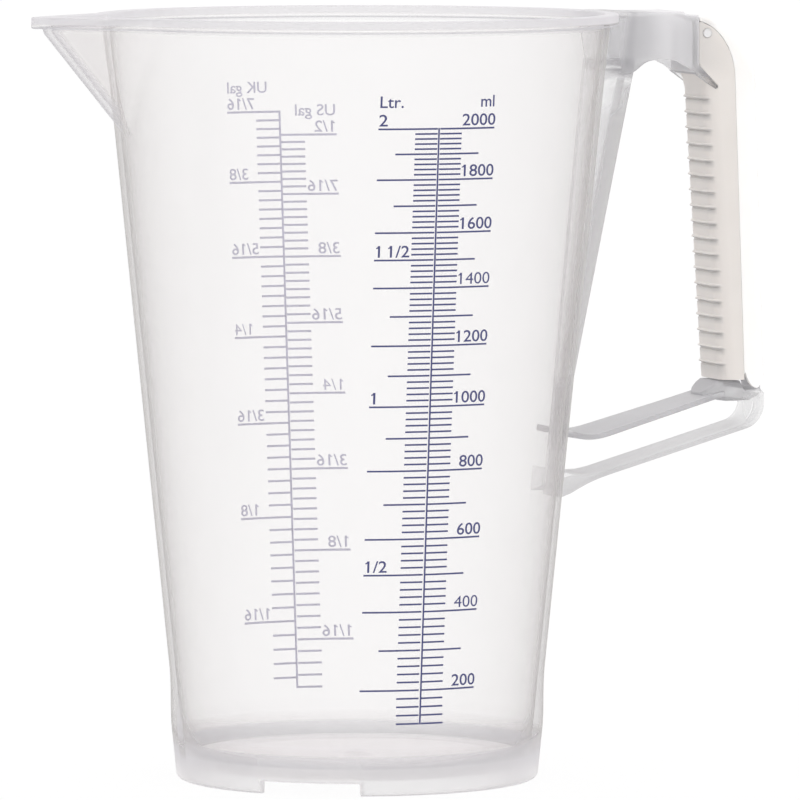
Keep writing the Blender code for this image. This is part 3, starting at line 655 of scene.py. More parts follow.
def floor_rings():
    """Rings over the floor: a faint ridge, then the sprue's low dome."""
    half_ridge = 0.8 * MM
    rings = [round_ring(FLOOR_TOP, RIDGE_RADIUS + half_ridge)]
    rings.append(round_ring(FLOOR_TOP + 0.25 * MM, RIDGE_RADIUS))
    rings += [round_ring(FLOOR_TOP, RIDGE_RADIUS - half_ridge), round_ring(FLOOR_TOP, 20.0 * MM)]
    for step in range(9):
        share = step / 9
        height = FLOOR_TOP + SPRUE_HEIGHT * ramp(share, 0.0, 1.0)
        rings.append(round_ring(height, SPRUE_RADIUS * (1.35 - share)))
    return rings


def close_ring(mesh_builder, ring, middle):
    """Fill a ring with a fan from its middle."""
    centre = mesh_builder.verts.new(middle)
    for index, corner in enumerate(ring):
        mesh_builder.faces.new((corner, ring[(index + 1) % len(ring)], centre))


def notch_cutter(angle):
    """A block that cuts one gap in the foot, at an angle from the handle."""
    inner = wall_radius(0.0) - 8.0 * MM
    outer = wall_radius(0.0) + 4.0 * MM
    half = 0.5 * NOTCH_WIDTH
    corners = ((inner, -half), (outer, -half), (outer, half), (inner, half))
    loops = []
    for height in (STANDING_FACE - CUT_PAST, NOTCH_TOP):
        loop = []
        for reach, side in corners:
            x = reach * math.cos(angle) - side * math.sin(angle)
            y = reach * math.sin(angle) + side * math.cos(angle)
            loop.append(place(x, y, height))
        loops.append(loop)
    return loft("notch_cutter", loops)


def band_bulk(height):
    """Thickness and painted shade of the rim band: painted shade along its bottom edge, a clear line, then
    the solid top.
    """
    foot = HEIGHT - RIM_HEIGHT
    # Painted shade along the band's bottom edge.
    edge = 1.0 - ramp(height, foot + 0.35 * MM, foot + 0.6 * MM)
    return 0.08 + 0.92 * ramp(height, HEIGHT - 2.5 * MM, HEIGHT - 2.1 * MM) - 0.9 * edge


def vessel_bulk(spot):
    """Thickness and painted shading of the vessel: wall 0, rim band 1, floor and foot 2, which paints
    light, keel and fillet under 0, which paints shade in the crease and the bend.
    """
    fillet_top = FLOOR_TOP + FLOOR_FILLET
    if spot.z > HEIGHT - RIM_HEIGHT - 0.1 * MM:
        return band_bulk(spot.z)
    if spot.z > fillet_top + 1.0 * MM:
        past_wall = -spot.x - wall_radius(spot.z)
        # Painted shade along the spout's keel.
        keel = ramp(past_wall, 0.0, 1.5 * MM) * (1.0 - ramp(abs(spot.y), 2.2 * MM, 3.8 * MM))
        return 0.11 * ramp(-spot.x, 66.0 * MM, 74.0 * MM) * (1.0 - keel) - 0.6 * keel
    reach = math.hypot(spot.x, spot.y)
    inner_reach = wall_radius(spot.z) - 0.8 * WALL
    on_fillet = spot.z > FLOOR_TOP + 0.6 * MM and reach > 0.5 * inner_reach
    # Painted shade in the fillet round the floor.
    if reach < inner_reach and on_fillet:
        return ramp(spot.z, fillet_top - 0.8 * MM, fillet_top + 0.3 * MM) - 1.0
    # Painted light over the floor and the foot.
    return 2.0 - 2.0 * ramp(spot.z, 5.0 * MM, fillet_top + 1.2 * MM)


def make_vessel(material):
    """Vessel with its rim band, spout, floor and notched foot."""
    mesh_builder = bmesh.new()
    rings = add_loops(mesh_builder, vessel_rings())
    close_ring(mesh_builder, rings[0], place(0.0, 0.0, FLOOR_UNDERSIDE - FLOOR_STEP))
    close_ring(mesh_builder, rings[-1], place(0.0, 0.0, FLOOR_TOP + SPRUE_HEIGHT))
    vessel = finish_object("vessel", mesh_builder)
    combine(vessel, [notch_cutter(angle) for angle in NOTCH_ANGLES], "DIFFERENCE")
    set_bulk(vessel, vessel_bulk)
    dress(vessel, material, ["jug_body"])


# ---------------------------------------------------------------- handle lines

def top_dip(turn):
    """How far the outside line lies below its ellipse at the start of the corner."""
    return BRIDGE_STEP * (1.0 - ramp(turn, SEAM_START, COVER_LEVEL))


def outer_point(turn, depth=0.0):
    """A point at a depth inside the handle's outside line round the top corner."""
    reach = OUTER_CENTRE[0] + (OUTER_RADII[0] - depth) * math.sin(turn)
    height = OUTER_CENTRE[1] + (OUTER_RADII[1] - depth) * math.cos(turn)
    return (reach, height - top_dip(turn))


def seam_point(turn):
    """The point of the seam that faces outer_point(turn)."""
    reach = SEAM_CENTRE[0] + SEAM_RADII[0] * math.sin(turn)
    return (reach, SEAM_CENTRE[1] + SEAM_RADII[1] * math.cos(turn))


def outer_reach(height):
    """Reach of the handle's back below the top corner."""
    return OUTER_CENTRE[0] + OUTER_RADII[0] + OUTER_LEAN * (OUTER_CENTRE[1] - height)


def seam_reach(height):
    """Reach of the seam at a height, round the corner and below it."""
    above = height - SEAM_CENTRE[1]
    if above <= 0.0:
        return SEAM_CENTRE[0] + SEAM_RADII[0] - SEAM_LEAN * above
    across = math.sqrt(1.0 - (above / SEAM_RADII[1]) ** 2)
    return SEAM_CENTRE[0] + SEAM_RADII[0] * across


# ---------------------------------------------------------------- handle frame

def spine_edge(height):
    """Reach of the spine's outer edge: a wedge that dies out down the wall."""
    line = SPINE_FOOT[0] + SPINE_LEAN * (height - SPINE_FOOT[1])
    return max(line, wall_radius(height) + SPINE_WEB)


def spine_loops(inset, span, corner):
    """Trapezoids up the spine, inset on its sides and outer edge."""
    loops = []
    for height in wall_levels(span[0], span[1], 30):
        root = wall_radius(height) - SPINE_ROOT_DEPTH
        edge = spine_edge(height) - inset
        wide = SPINE_HALF_WIDTH[0] - inset
        narrow = SPINE_HALF_WIDTH[1] - inset
        outline = ((root, -wide), (edge, -narrow), (edge, narrow), (root, wide))
        points = rounded(outline, (SHARP, corner, corner, SHARP))
        loops.append([place(point.x, point.y, height) for point in points])
    return loops


def bridge_sections():
    """Reach, top height, underside height, half width at the top and below."""
    end_top = BRIDGE_TOP - BRIDGE_STEP
    return (
        (73.0 * MM, HEIGHT, 201.8 * MM, 15.5 * MM, 7.4 * MM),
        (79.0 * MM, HEIGHT, 201.9 * MM, 13.0 * MM, 6.8 * MM),
        (82.6 * MM, BRIDGE_TOP, 202.2 * MM, 11.8 * MM, 6.4 * MM),
        (86.0 * MM, BRIDGE_TOP, 205.1 * MM, 11.0 * MM, 8.2 * MM),
        (90.0 * MM, BRIDGE_TOP, 206.0 * MM, HANDLE_HALF_WIDTH, 10.0 * MM),
        (94.0 * MM, BRIDGE_TOP, 205.6 * MM, HANDLE_HALF_WIDTH, HANDLE_HALF_WIDTH),
        (96.6 * MM, BRIDGE_TOP, 204.3 * MM, HANDLE_HALF_WIDTH, HANDLE_HALF_WIDTH),
        (98.2 * MM, end_top, 203.5 * MM, HANDLE_HALF_WIDTH, HANDLE_HALF_WIDTH),
        (BRIDGE_END, end_top, 201.2 * MM, HANDLE_HALF_WIDTH, HANDLE_HALF_WIDTH),
    )


def bridge_loop(reach, top, underside, upper, lower):
    """An inverted channel section: top web and two cheeks."""
    ceiling = top - BRIDGE_WEB
    corners = (
        (-lower, underside),
        (-upper, top),
        (upper, top),
        (lower, underside),
        (lower - BRIDGE_WEB, underside),
        (upper - BRIDGE_WEB, ceiling),
        (-upper + BRIDGE_WEB, ceiling),
        (-lower + BRIDGE_WEB, underside),
    )
    shoulder = 1.0 * MM
    rim = 0.35 * MM
    radii = (rim, shoulder, shoulder, rim, rim, 0.5 * MM, 0.5 * MM, rim)
    return [place(reach, point.x, point.y) for point in rounded(corners, radii)]


def tongue_outline(margin):
    """Pointed finger of each cheek that lies in the grip's side."""
    corners = (
        (100.0 * MM, 201.9 * MM - margin),
        (106.5 * MM, 197.2 * MM - margin),
        (107.3 * MM + margin, 197.6 * MM - margin),
        (107.2 * MM + margin, 198.2 * MM + margin),
        (100.0 * MM, 205.6 * MM + margin),
    )
    tip = 0.3 * MM
    return rounded(corners, (SHARP, tip, tip, tip, SHARP), 3)


def bulkhead_outline():
    """The web that closes the bridge's end behind the grip."""
    return (
        (BULKHEAD_REACH, 202.4 * MM),
        (BRIDGE_END, 201.4 * MM),
        (BRIDGE_END, 217.5 * MM),
        (BULKHEAD_REACH, 217.5 * MM),
    )


def band(name, stations, edge):
    """A flat strip with eased edges.

    Each station is reach, height, thickness towards the inner face, thickness
    towards the outer face, and half width, all from the strip's centre line.
    """
    loops = []
    for index, (reach, height, inner, outer, half_width) in enumerate(stations):
        before = Vector(stations[max(index - 1, 0)][:2])
        after = Vector(stations[min(index + 1, len(stations) - 1)][:2])
        along = (after - before).normalized()
        across = Vector((along.y, -along.x))
        corners = ((-half_width, outer), (half_width, outer), (half_width, -inner), (-half_width, -inner))
        loop = []
        for point in rounded(corners, (edge,) * 4, 3):
            spot = Vector((reach, height)) + across * point.y
            loop.append(place(spot.x, point.x, spot.y))
        loops.append(loop)
    return loft(name, loops)


def strap_line():
    """The strap's centre line: bridge, corner, back, lower corner and lower arm."""
    half = 0.5 * STRAP
    hidden = COVER_WALL + CLEARANCE + half
    steps = 24
    line = [outer_point(0.5 * math.pi * step / steps, hidden) for step in range(steps + 1)]
    line.insert(0, (STRAP_START, line[0][1]))
    height = COVER_WEB_END + CLEARANCE
    line.append((outer_reach(height) - hidden, height))
    reach = STRAP_REACH - half
    line += [(reach, 110.4 * MM), (reach, 109.2 * MM)]
    stations = [(*point, half, half, STRAP_HIDDEN_HALF_WIDTH) for point in line]
    stations.append((reach, 108.2 * MM, half, half, STRAP_HALF_WIDTH))
    return stations + lower_arm_line()


def lower_arm_line():
    """Lower corner and the arm that slopes down to the wall, swelling at its root."""
    half = 0.5 * STRAP
    corner_height, corner_radius = STRAP_CORNER
    centre = (STRAP_REACH - corner_radius, corner_height)
    sweep = math.degrees(0.5 * math.pi - ARM_SLOPE)
    points = arc(centre, corner_radius - half, 0.0, -sweep, 16)
    stations = [(reach, height, half, half, STRAP_HALF_WIDTH) for reach, height in points]
    start_reach, start_height = points[-1]
    ends = ((ROOT_FLARE[0], 0.0), mm(70.5, 0.3), mm(67.0, 1.2), mm(63.6, 2.6),
            mm(60.6, 4.2), (WALL_END, 6.0 * MM))
    for reach, swell in ends:
        height = start_height - (start_reach - reach) * math.tan(ARM_SLOPE)
        stations.append((reach, height, half + 0.2 * swell, half + swell, root_half_width(reach)))
    return stations


def root_half_width(reach):
    """Half width of the lower arm: it flares out to its root on the wall."""
    flare = min(max((ROOT_FLARE[0] - reach) / (ROOT_FLARE[0] - ROOT_FLARE[1]), 0.0), 1.0)
    return STRAP_HALF_WIDTH + flare * flare * (ROOT_HALF_WIDTH - STRAP_HALF_WIDTH)


def strap_rib_line():
    """The low rib along the middle of the strap's inner face, corner and lower arm."""
    lift = 0.5 * STRAP
    return [(reach, height, lift + 0.5 * MM, 0.0, 0.4 * MM)
            for reach, height, *_ in lower_arm_line()[:18]]


def upper_arm_line():
    """Arm from the grip's foot down to the wall, turning up a little at its root."""
    half = 0.5 * UPPER_ARM
    line = (
        (110.0 * MM, 108.2 * MM, half, half, 9.4 * MM),
        (96.0 * MM, 104.1 * MM, half, half, 10.2 * MM),
        (82.0 * MM, 100.1 * MM, half, half, 11.2 * MM),
        (75.0 * MM, 98.1 * MM, half, half, 11.8 * MM),
        (71.0 * MM, 97.1 * MM, half, half, 12.2 * MM),
        (67.0 * MM, 96.8 * MM, half, half, 12.6 * MM),
        (63.0 * MM, 97.3 * MM, half, 1.2 * half, 13.0 * MM),
        (WALL_END, 98.6 * MM, half, 1.6 * half, ROOT_HALF_WIDTH),
    )
    return smooth_rows(line, 4)


def foot_sections():
    """Reach, underside, top and half width of the boat-shaped foot of the grip."""
    return (
        mm(104.4, 107.7, 108.3, 4.0),
        mm(105.6, 107.2, 109.4, 6.4),
        mm(107.2, 106.5, 110.7, 7.8),
        mm(108.8, 106.2, 111.7, 8.4),
        (111.0 * MM, 105.9 * MM, 111.7 * MM, FOOT_HALF_WIDTH),
        (115.2 * MM, 105.9 * MM, 111.7 * MM, FOOT_HALF_WIDTH),
        (116.6 * MM, 106.0 * MM, 109.3 * MM, FOOT_HALF_WIDTH),
        (118.0 * MM, 106.0 * MM, 109.3 * MM, FOOT_HALF_WIDTH),
        (120.4 * MM, 107.2 * MM, 109.3 * MM, FOOT_HALF_WIDTH),
        (121.6 * MM, 108.6 * MM, 109.3 * MM, FOOT_HALF_WIDTH),
    )


def foot_loop(reach, underside, top, half_width):
    """One upright section across the foot, with rounded corners."""
    corners = ((-half_width, underside), (half_width, underside), (half_width, top), (-half_width, top))
    radius = min(1.2 * MM, 0.4 * (top - underside))
    return [place(reach, point.x, point.y) for point in rounded(corners, (radius,) * 4)]


def vessel_envelope():
    """The space that the vessel takes up, with a clearance all round it."""
    band_foot = HEIGHT - RIM_HEIGHT - CLEARANCE
    rim = wall_radius(HEIGHT) + RIM_OVERHANG + CLEARANCE
    profile = (
        (wall_radius(60.0 * MM) + CLEARANCE, 60.0 * MM),
        (wall_radius(band_foot) + CLEARANCE, band_foot),
        (rim, band_foot),
        (rim, HEIGHT + 10.0 * MM),
    )
    loops = [[place(radius * math.cos(t), radius * math.sin(t), height) for t in turns_round(180)]
             for radius, height in profile]
    return loft("vessel_envelope", loops)


def frame_bulk(spot):
    """Thickness and painted shading of the frame: strap near 0; spine's web under 0, painted shade along
    its edge; arms under 1 and foot 1, partly thickness and partly painted shade; bridge over 1, painted
    light.
    """
    # Painted shade along the spine's outer edge.
    web = ramp(spot.x, spine_edge(spot.z) - 2.4 * MM, spine_edge(spot.z) - 1.9 * MM)
    if spot.z > BRIDGE_ZONE:
        # Painted light over the bridge.
        lift = ramp(spot.z, 200.5 * MM, 202.5 * MM)
        flare = 1.35 * ramp(spot.x, 76.0 * MM, 83.0 * MM) + 0.5 * ramp(spot.x, 84.0 * MM, 92.0 * MM)
        bridge = max(0.05, lift * flare)
        return bridge if spot.z > 202.0 * MM else bridge - 0.45 * web
    if spot.z > SPINE_ZONE[1]:
        return 0.1 - 0.9 * web if spot.x < SPINE_ZONE[0] else 0.02
    # Painted shade, with the thickness, on the grip's boat-shaped foot and the upper arm.
    boat_foot = 103.5 * MM + 0.45 * max(spot.x - 112.0 * MM, 0.0)
    boat = ramp(spot.x, 102.0 * MM, 107.0 * MM) * ramp(spot.z, boat_foot, boat_foot + 3.0 * MM)
    slope_line = 93.0 * MM + 0.29 * (spot.x - 66.0 * MM)
    upper_arm = 0.7 * ramp(spot.z, slope_line, slope_line + 3.0 * MM)
    lower_arm = 0.08 - 0.06 * ramp(spot.x, 104.0 * MM, 114.0 * MM)
    return max(lower_arm, upper_arm, boat)


def make_handle_frame(material):
    """Translucent moulding: spine, bridge, strap, both arms and the grip's foot."""
    thing = loft("frame", [bridge_loop(*row) for row in smooth_rows(bridge_sections(), 5)])
    combine(thing, [loft("spine", spine_loops(0.0, SPINE_SPAN, 0.9 * MM))], "UNION")
    hollow = loft("hollow", spine_loops(SPINE_WEB, HOLLOW_SPAN, 0.4 * MM))
    combine(thing, [hollow], "DIFFERENCE")
    inner = HANDLE_HALF_WIDTH - BRIDGE_WEB
    bulkhead_side = HANDLE_HALF_WIDTH - 1.0 * MM
    parts = [
        slab("tongue_near", tongue_outline(0.0), -HANDLE_HALF_WIDTH, -inner, 0.25 * MM),
        slab("tongue_far", tongue_outline(0.0), inner, HANDLE_HALF_WIDTH, 0.25 * MM),
        slab("bulkhead", bulkhead_outline(), -bulkhead_side, bulkhead_side),
        band("strap", strap_line(), 0.35 * MM),
        band("strap_rib", strap_rib_line(), 0.2 * MM),
        band("upper_arm", upper_arm_line(), 0.4 * MM),
        loft("foot", [foot_loop(*row) for row in foot_sections()]),
    ]
    combine(thing, parts, "UNION")
    combine(thing, [vessel_envelope()], "DIFFERENCE")
    thing.name = "handle_frame_moulding"
    set_bulk(thing, frame_bulk)
    dress(thing, material, ["handle_frame"])


# ---------------------------------------------------------------- grip shell

def grip_face(height):
    """Reach of the face that the fingers hold, drawn in under the bridge."""
    face = GRIP_FACE[0] + GRIP_LEAN * (GRIP_FACE[1] - height)
    blend = min(max((height - GRIP_TUCK[0]) / GRIP_TUCK[1], 0.0), 1.0)
    return face + blend * (BRIDGE_END + SEAM - face)


def grip_corner(height):
    """Corner radius of the shell: round in the hand, sharp beside the bridge."""
    blend = min(max((height - GRIP_SQUARE[0]) / GRIP_SQUARE[1], 0.0), 1.0)
    return GRIP_CORNER + blend * (SQUARE_CORNER - GRIP_CORNER)


def grip_loop(height, proud):
    """One U-shaped section of the shell, its skin raised where a rib crosses it."""
    face = grip_face(height)
    corner = grip_corner(height)
    back = seam_reach(height) - SEAM
    half = HANDLE_HALF_WIDTH
    outer = [(back, half - SEAM_BEVEL), (back - SEAM_BEVEL, half)]
    steps = 12
    for step in range(steps + 1):
        turn = 90.0 * step / steps
        radius = corner + proud * ramp(turn, *RIB_TURN)
        reach = face + corner - radius * math.sin(math.radians(turn))
        outer.append((reach, half - corner + radius * math.cos(math.radians(turn))))
    inner_face = min(face + GRIP_WALL, back - GRIP_RIM)
    inner_corner = max(corner - GRIP_WALL, 0.2 * MM)
    side = half - GRIP_WALL
    bend = min(inner_face + inner_corner, back - 0.2 * MM)
    inner = [(inner_face, side - inner_corner), (bend, side), (back, side)]
    near = [(reach, -offset) for reach, offset in outer]
    inner_near = [(reach, -offset) for reach, offset in inner]
    loop = near + outer[::-1] + inner[::-1] + inner_near
    return [place(reach, offset, height) for reach, offset in loop]


def grip_shade(spot):
    """Painted shade on the shell: the groove under each rib, its top beside the bridge's end, and faintly
    the face itself.
    """
    pitch = (RIB_SPAN[1] - RIB_SPAN[0]) / (RIB_COUNT - 1)
    index = min(max(round((spot.z - RIB_SPAN[0]) / pitch), 0), RIB_COUNT - 1)
    below = (spot.z - RIB_SPAN[0] - pitch * index) / RIB_HALF_HEIGHT
    groove = ramp(below, -3.2, -1.8) * (1.0 - ramp(below, -0.3, 0.5))
    behind = spot.x - grip_face(spot.z)
    skin = 1.0 - ramp(behind, 0.9 * MM, 2.0 * MM)
    round_corner = ramp(abs(spot.y), 4.5 * MM, 7.0 * MM)
    beside_bridge = 0.45 * (1.0 - ramp(spot.x, BRIDGE_END, BRIDGE_END + 6.0 * MM))
    top = beside_bridge * ramp(spot.z, 200.0 * MM, 206.0 * MM)
    return max(top, skin * max(groove * (0.45 + 0.35 * round_corner), 0.36 * (1.0 - round_corner)))


def grip_levels():
    """Heights and rib height of the shell's sections, from its foot to its top."""
    levels = [(GRIP_SPAN[0], 0.0)]
    pitch = (RIB_SPAN[1] - RIB_SPAN[0]) / (RIB_COUNT - 1)
    for index in range(RIB_COUNT):
        middle = RIB_SPAN[0] + pitch * index
        for share, proud in ((-1.9, 0.0), (-1.5, -0.7), (-1.1, -1.0), (-0.8, -0.5)):
            levels.append((middle + share * RIB_HALF_HEIGHT, proud * RIB_GROOVE))
        for share, proud in ((-0.6, 0.35), (-0.35, 0.85), (0.0, 1.0), (0.4, 0.75), (1.0, 0.0)):
            levels.append((middle + share * RIB_HALF_HEIGHT, proud * RIB_PROUD))
        levels.append((middle + 0.5 * pitch, 0.0))
    for height in (200.0, 201.25, 202.5, 203.75, 205.0, 208.0, 211.0, 213.5, 215.2):
        levels.append((height * MM, 0.0))
    levels.append((GRIP_SPAN[1], 0.0))
    return levels


def round_bar(name, profile, steps):
    """A round bar across the handle at the pin's place; its profile is (radius, side) pairs."""
    reach, height = PIN_PLACE
    loops = []
    for radius, side in profile:
        loops.append([place(reach + radius * math.cos(t), side, height + radius * math.sin(t))
                      for t in turns_round(steps)])
    return loft(name, loops)


def make_grip_shell(material):
    """Ribbed U-shaped shell that the fingers close round."""
    grip = loft("grip_ribbed_shell", [grip_loop(*level) for level in grip_levels()])
    outside = HANDLE_HALF_WIDTH + CUT_PAST
    inner = HANDLE_HALF_WIDTH - GRIP_WALL
    mouth = (
        mm(100.0, 204.5),
        mm(104.5, 204.5),
        mm(104.5, 218.0),
        mm(100.0, 218.0),
    )
    slot = inner - SEAM
    bore = PIN_RADIUS + SEAM
    cutters = [
        slab("near_slot_cutter", tongue_outline(SEAM), -outside, -slot),
        slab("far_slot_cutter", tongue_outline(SEAM), slot, outside),
        slab("bridge_mouth", mouth, -inner, inner),
        round_bar("pin_bore", [(bore, -outside), (bore, outside)], 32),
    ]
    combine(grip, cutters, "DIFFERENCE")
    set_bulk(grip, grip_shade)
    dress(grip, material, ["grip_shell"])


# ---------------------------------------------------------------- back cover

def cover_loop(outer, seam):
    """One U-shaped section of the cover between its back and its seam."""
    start = Vector(outer)
    inward = Vector(seam) - start
    depth = inward.length
    inward.normalize()
    corner = min(COVER_CORNER, 0.8 * depth)
    half = HANDLE_HALF_WIDTH
    outside = [(depth, half - SEAM_BEVEL), (depth - SEAM_BEVEL, half)]
    outside += [(corner * (1.0 - sine), half - corner * (1.0 - cosine))
                for cosine, sine in arc((0.0, 0.0), 1.0, 0.0, 90.0, 10)]
    core = max(corner - COVER_WALL, 0.15 * MM)
    floor = min(COVER_WALL, 0.6 * depth)
    side = half - COVER_WALL
    inside = [(depth, side), (min(floor + core, 0.95 * depth), side), (floor, side - core)]
    section = outside + [(along, -offset) for along, offset in reversed(outside)]
    section += [(along, -offset) for along, offset in inside] + list(reversed(inside))
    points = []
    for along, offset in section:
        spot = start + inward * along
        points.append(place(spot.x, offset, spot.y))
    return points


def cover_end_outline():
    """What is cut from the cover's foot to leave a rounded end on each side."""
    return (
        mm(110.0, 105.0),
        mm(116.0, 114.4),
        mm(116.6, 112.7),
        mm(117.2, 111.5),
        mm(118.0, 110.5),
        mm(118.8, 109.9),
        mm(119.6, 109.7),
        mm(120.3, 110.1),
        mm(120.9, 111.0),
        (121.2 * MM, COVER_WEB_END),
        (126.0 * MM, COVER_WEB_END),
        mm(126.0, 105.0),
    )


def cover_shade(spot):
    """Shade of the cover: its start beside the bridge, and faintly its round corner."""
    start = 0.42 * (1.0 - ramp(spot.x, 104.0 * MM, 108.5 * MM)) * ramp(spot.z, 200.0 * MM, 206.0 * MM)
    return max(start, 0.07 * ramp(spot.z, 188.0 * MM, 204.0 * MM))


def make_back_cover(material):
    """Smooth cover over the outside of the strap."""
    loops = []
    steps = 36
    for step in range(steps + 1):
        turn = COVER_START + (0.5 * math.pi - COVER_START) * step / steps
        loops.append(cover_loop(outer_point(turn), seam_point(max(turn, SEAM_START))))
    for height in wall_levels(OUTER_CENTRE[1], COVER_FOOT, 20)[1:]:
        loops.append(cover_loop((outer_reach(height), height), (seam_reach(height), height)))
    cover = loft("grip_back_cover_shell", loops)
    outside = HANDLE_HALF_WIDTH + CUT_PAST
    combine(cover, [slab("cover_end", cover_end_outline(), -outside, outside)], "DIFFERENCE")
    set_bulk(cover, cover_shade)
    dress(cover, material, ["grip_back_cover"])


# ---------------------------------------------------------------- grip pin

def pin_shade(spot):
    """Shade of the pin: its eased rim is darker than the head's middle."""
    radius = math.hypot(spot.x - PIN_PLACE[0], spot.z - PIN_PLACE[1])
    return 0.85 * ramp(radius, 0.72 * PIN_RADIUS, 0.95 * PIN_RADIUS)


def make_pin(material):
    """Cross pin with eased heads that are dished a little in the middle."""
    profile = [
        (0.55 * PIN_RADIUS, HANDLE_HALF_WIDTH + 0.4 * PIN_PROUD),
        (0.70 * PIN_RADIUS, HANDLE_HALF_WIDTH + 0.9 * PIN_PROUD),
        (0.86 * PIN_RADIUS, HANDLE_HALF_WIDTH + PIN_PROUD),
        (PIN_RADIUS, HANDLE_HALF_WIDTH + 0.3 * PIN_PROUD),
        (PIN_RADIUS, HANDLE_HALF_WIDTH - 1.0 * MM),
    ]
    pin = round_bar("grip_cross_pin", [(radius, -side) for radius, side in profile] + profile[::-1], 40)
    set_bulk(pin, pin_shade)
    dress(pin, material, ["grip_pin"])


# ---------------------------------------------------------------- printed scales

def mark_height(millilitres):
    """Height of the liquid's surface for a volume in the tapered vessel."""
    floor_radius = FOOT_RADIUS + SCALE_DRAFT * SCALE_FLOOR - SCALE_WALL
    cube = floor_radius ** 3 + 3.0 * SCALE_DRAFT * millilitres * MILLILITRE / math.pi
    return SCALE_FLOOR + (cube ** (1.0 / 3.0) - floor_radius) / SCALE_DRAFT


def on_wall(side, across, height, lift):
    """A point of the print: across is measured along the wall from the scale's middle."""
    radius = wall_radius(height)
    angle = side + across / radius
    radius += lift + foot_swell(height)
    return place(radius * math.cos(angle), radius * math.sin(angle), height)


def add_stroke(mesh_builder, side, start, end, low, high):
    """A straight stroke of ink between two distances across and two heights."""
    count = max(1, math.ceil((end - start) / (2.0 * MM)))
    top = INK_BASE + INK_THICKNESS
    loops = []
    for step in range(count + 1):
        across = start + (end - start) * step / count
        corners = ((low, INK_BASE), (high, INK_BASE), (high, top), (low, top))
        loops.append([on_wall(side, across, height, lift) for height, lift in corners])
    add_solid(mesh_builder, loops)


def add_tick(mesh_builder, side, height, left, right):
    """A level mark that leaves a hair's gap beside the scale's middle line."""
    half = 0.5 * INK_LINE
    gap = half + TICK_GAP
    add_stroke(mesh_builder, side, -left, -gap, height - half, height + half)
    add_stroke(mesh_builder, side, gap, right, height - half, height + half)


def letter_size():
    """Font size at which a figure has the print's digit height."""
    curve = bpy.data.curves.new("measure", "FONT")
    curve.body = "0"
    thing = bpy.data.objects.new("measure", curve)
    bpy.context.scene.collection.objects.link(thing)
    bpy.context.view_layer.update()
    size = DIGIT_HEIGHT / thing.dimensions.y
    bpy.data.objects.remove(thing)
    return size


def show_underside(scale, underside):
    """Give the faces that lie against the wall a paler copy of the ink, painted light for ink seen through
    the wall.
    """
    scale.data.materials.append(underside)
    for polygon in scale.data.polygons:
        middle = polygon.center
        outward = (middle.x - AXIS_X) * polygon.normal.x + middle.y * polygon.normal.y
        polygon.material_index = 1 if outward < 0.0 else 0


def islands(word):
    """The separate letters of a word's mesh, each as a set of its vertices."""
    left = set(word.verts)
    found = []
    while left:
        island = set()
        front = [left.pop()]
        while front:
            vertex = front.pop()
            island.add(vertex)
            for edge in vertex.link_edges:
                other = edge.other_vert(vertex)
                if other in left:
                    left.remove(other)
                    front.append(other)
        found.append(island)
    return found


def add_flags(word):
    """Give every figure one, a plain bar in this font, the flag at its top left."""
    for island in islands(word):
        spots = [vertex.co for vertex in island]
        left = min(spot.x for spot in spots)
        top = max(spot.y for spot in spots)
        wide = max(spot.x for spot in spots) - left
        tall = top - min(spot.y for spot in spots)
        if wide > 0.2 * tall or tall < 0.8 * DIGIT_HEIGHT:
            continue
        outline = (
            (left, top),
            (left, top - 0.22 * tall),
            (left - 0.15 * tall, top - 0.27 * tall),
            (left - 0.15 * tall, top - 0.16 * tall),
            (left - 0.06 * tall, top - 0.12 * tall),
        )
        half = 0.5 * INK_THICKNESS
        add_solid(word, [[Vector((x, y, z)) for x, y in outline] for z in (-half, half)])


def add_text(mesh_builder, text, size, side, across, base, align):
    """A word or figure of ink bent round the wall."""
    curve = bpy.data.curves.new("word", "FONT")
    curve.body = text
    curve.size = size
    curve.align_x = align
    curve.space_word = FRACTION_GAP if "/" in text else 1.0
    curve.resolution_u = 5
    curve.extrude = 0.5 * INK_THICKNESS
    # The font's four closes up when it is spread, so a word with one keeps its own weight.
    curve.offset = 0.0 if "4" in text else INK_SPREAD
    thing = bpy.data.objects.new("word", curve)
    bpy.context.scene.collection.objects.link(thing)
    graph = bpy.context.evaluated_depsgraph_get()
    mesh = bpy.data.meshes.new_from_object(thing.evaluated_get(graph))
    stretch = DIGIT_STRETCH if text.isdigit() else FRACTION_STRETCH if "/" in text else WORD_STRETCH
    word = bmesh.new()
    word.from_mesh(mesh)
    bmesh.ops.remove_doubles(word, verts=word.verts, dist=0.0005 * MM)
    if "1" in text:
        add_flags(word)
    for vertex in word.verts:
        x, y, z = vertex.co
        lift = INK_BASE + 0.5 * INK_THICKNESS + z
        vertex.co = on_wall(side, across + stretch * x, base + y, lift)
    word.to_mesh(mesh)
    word.free()
    mesh_builder.from_mesh(mesh)
    bpy.data.objects.remove(thing)
    bpy.data.meshes.remove(mesh)


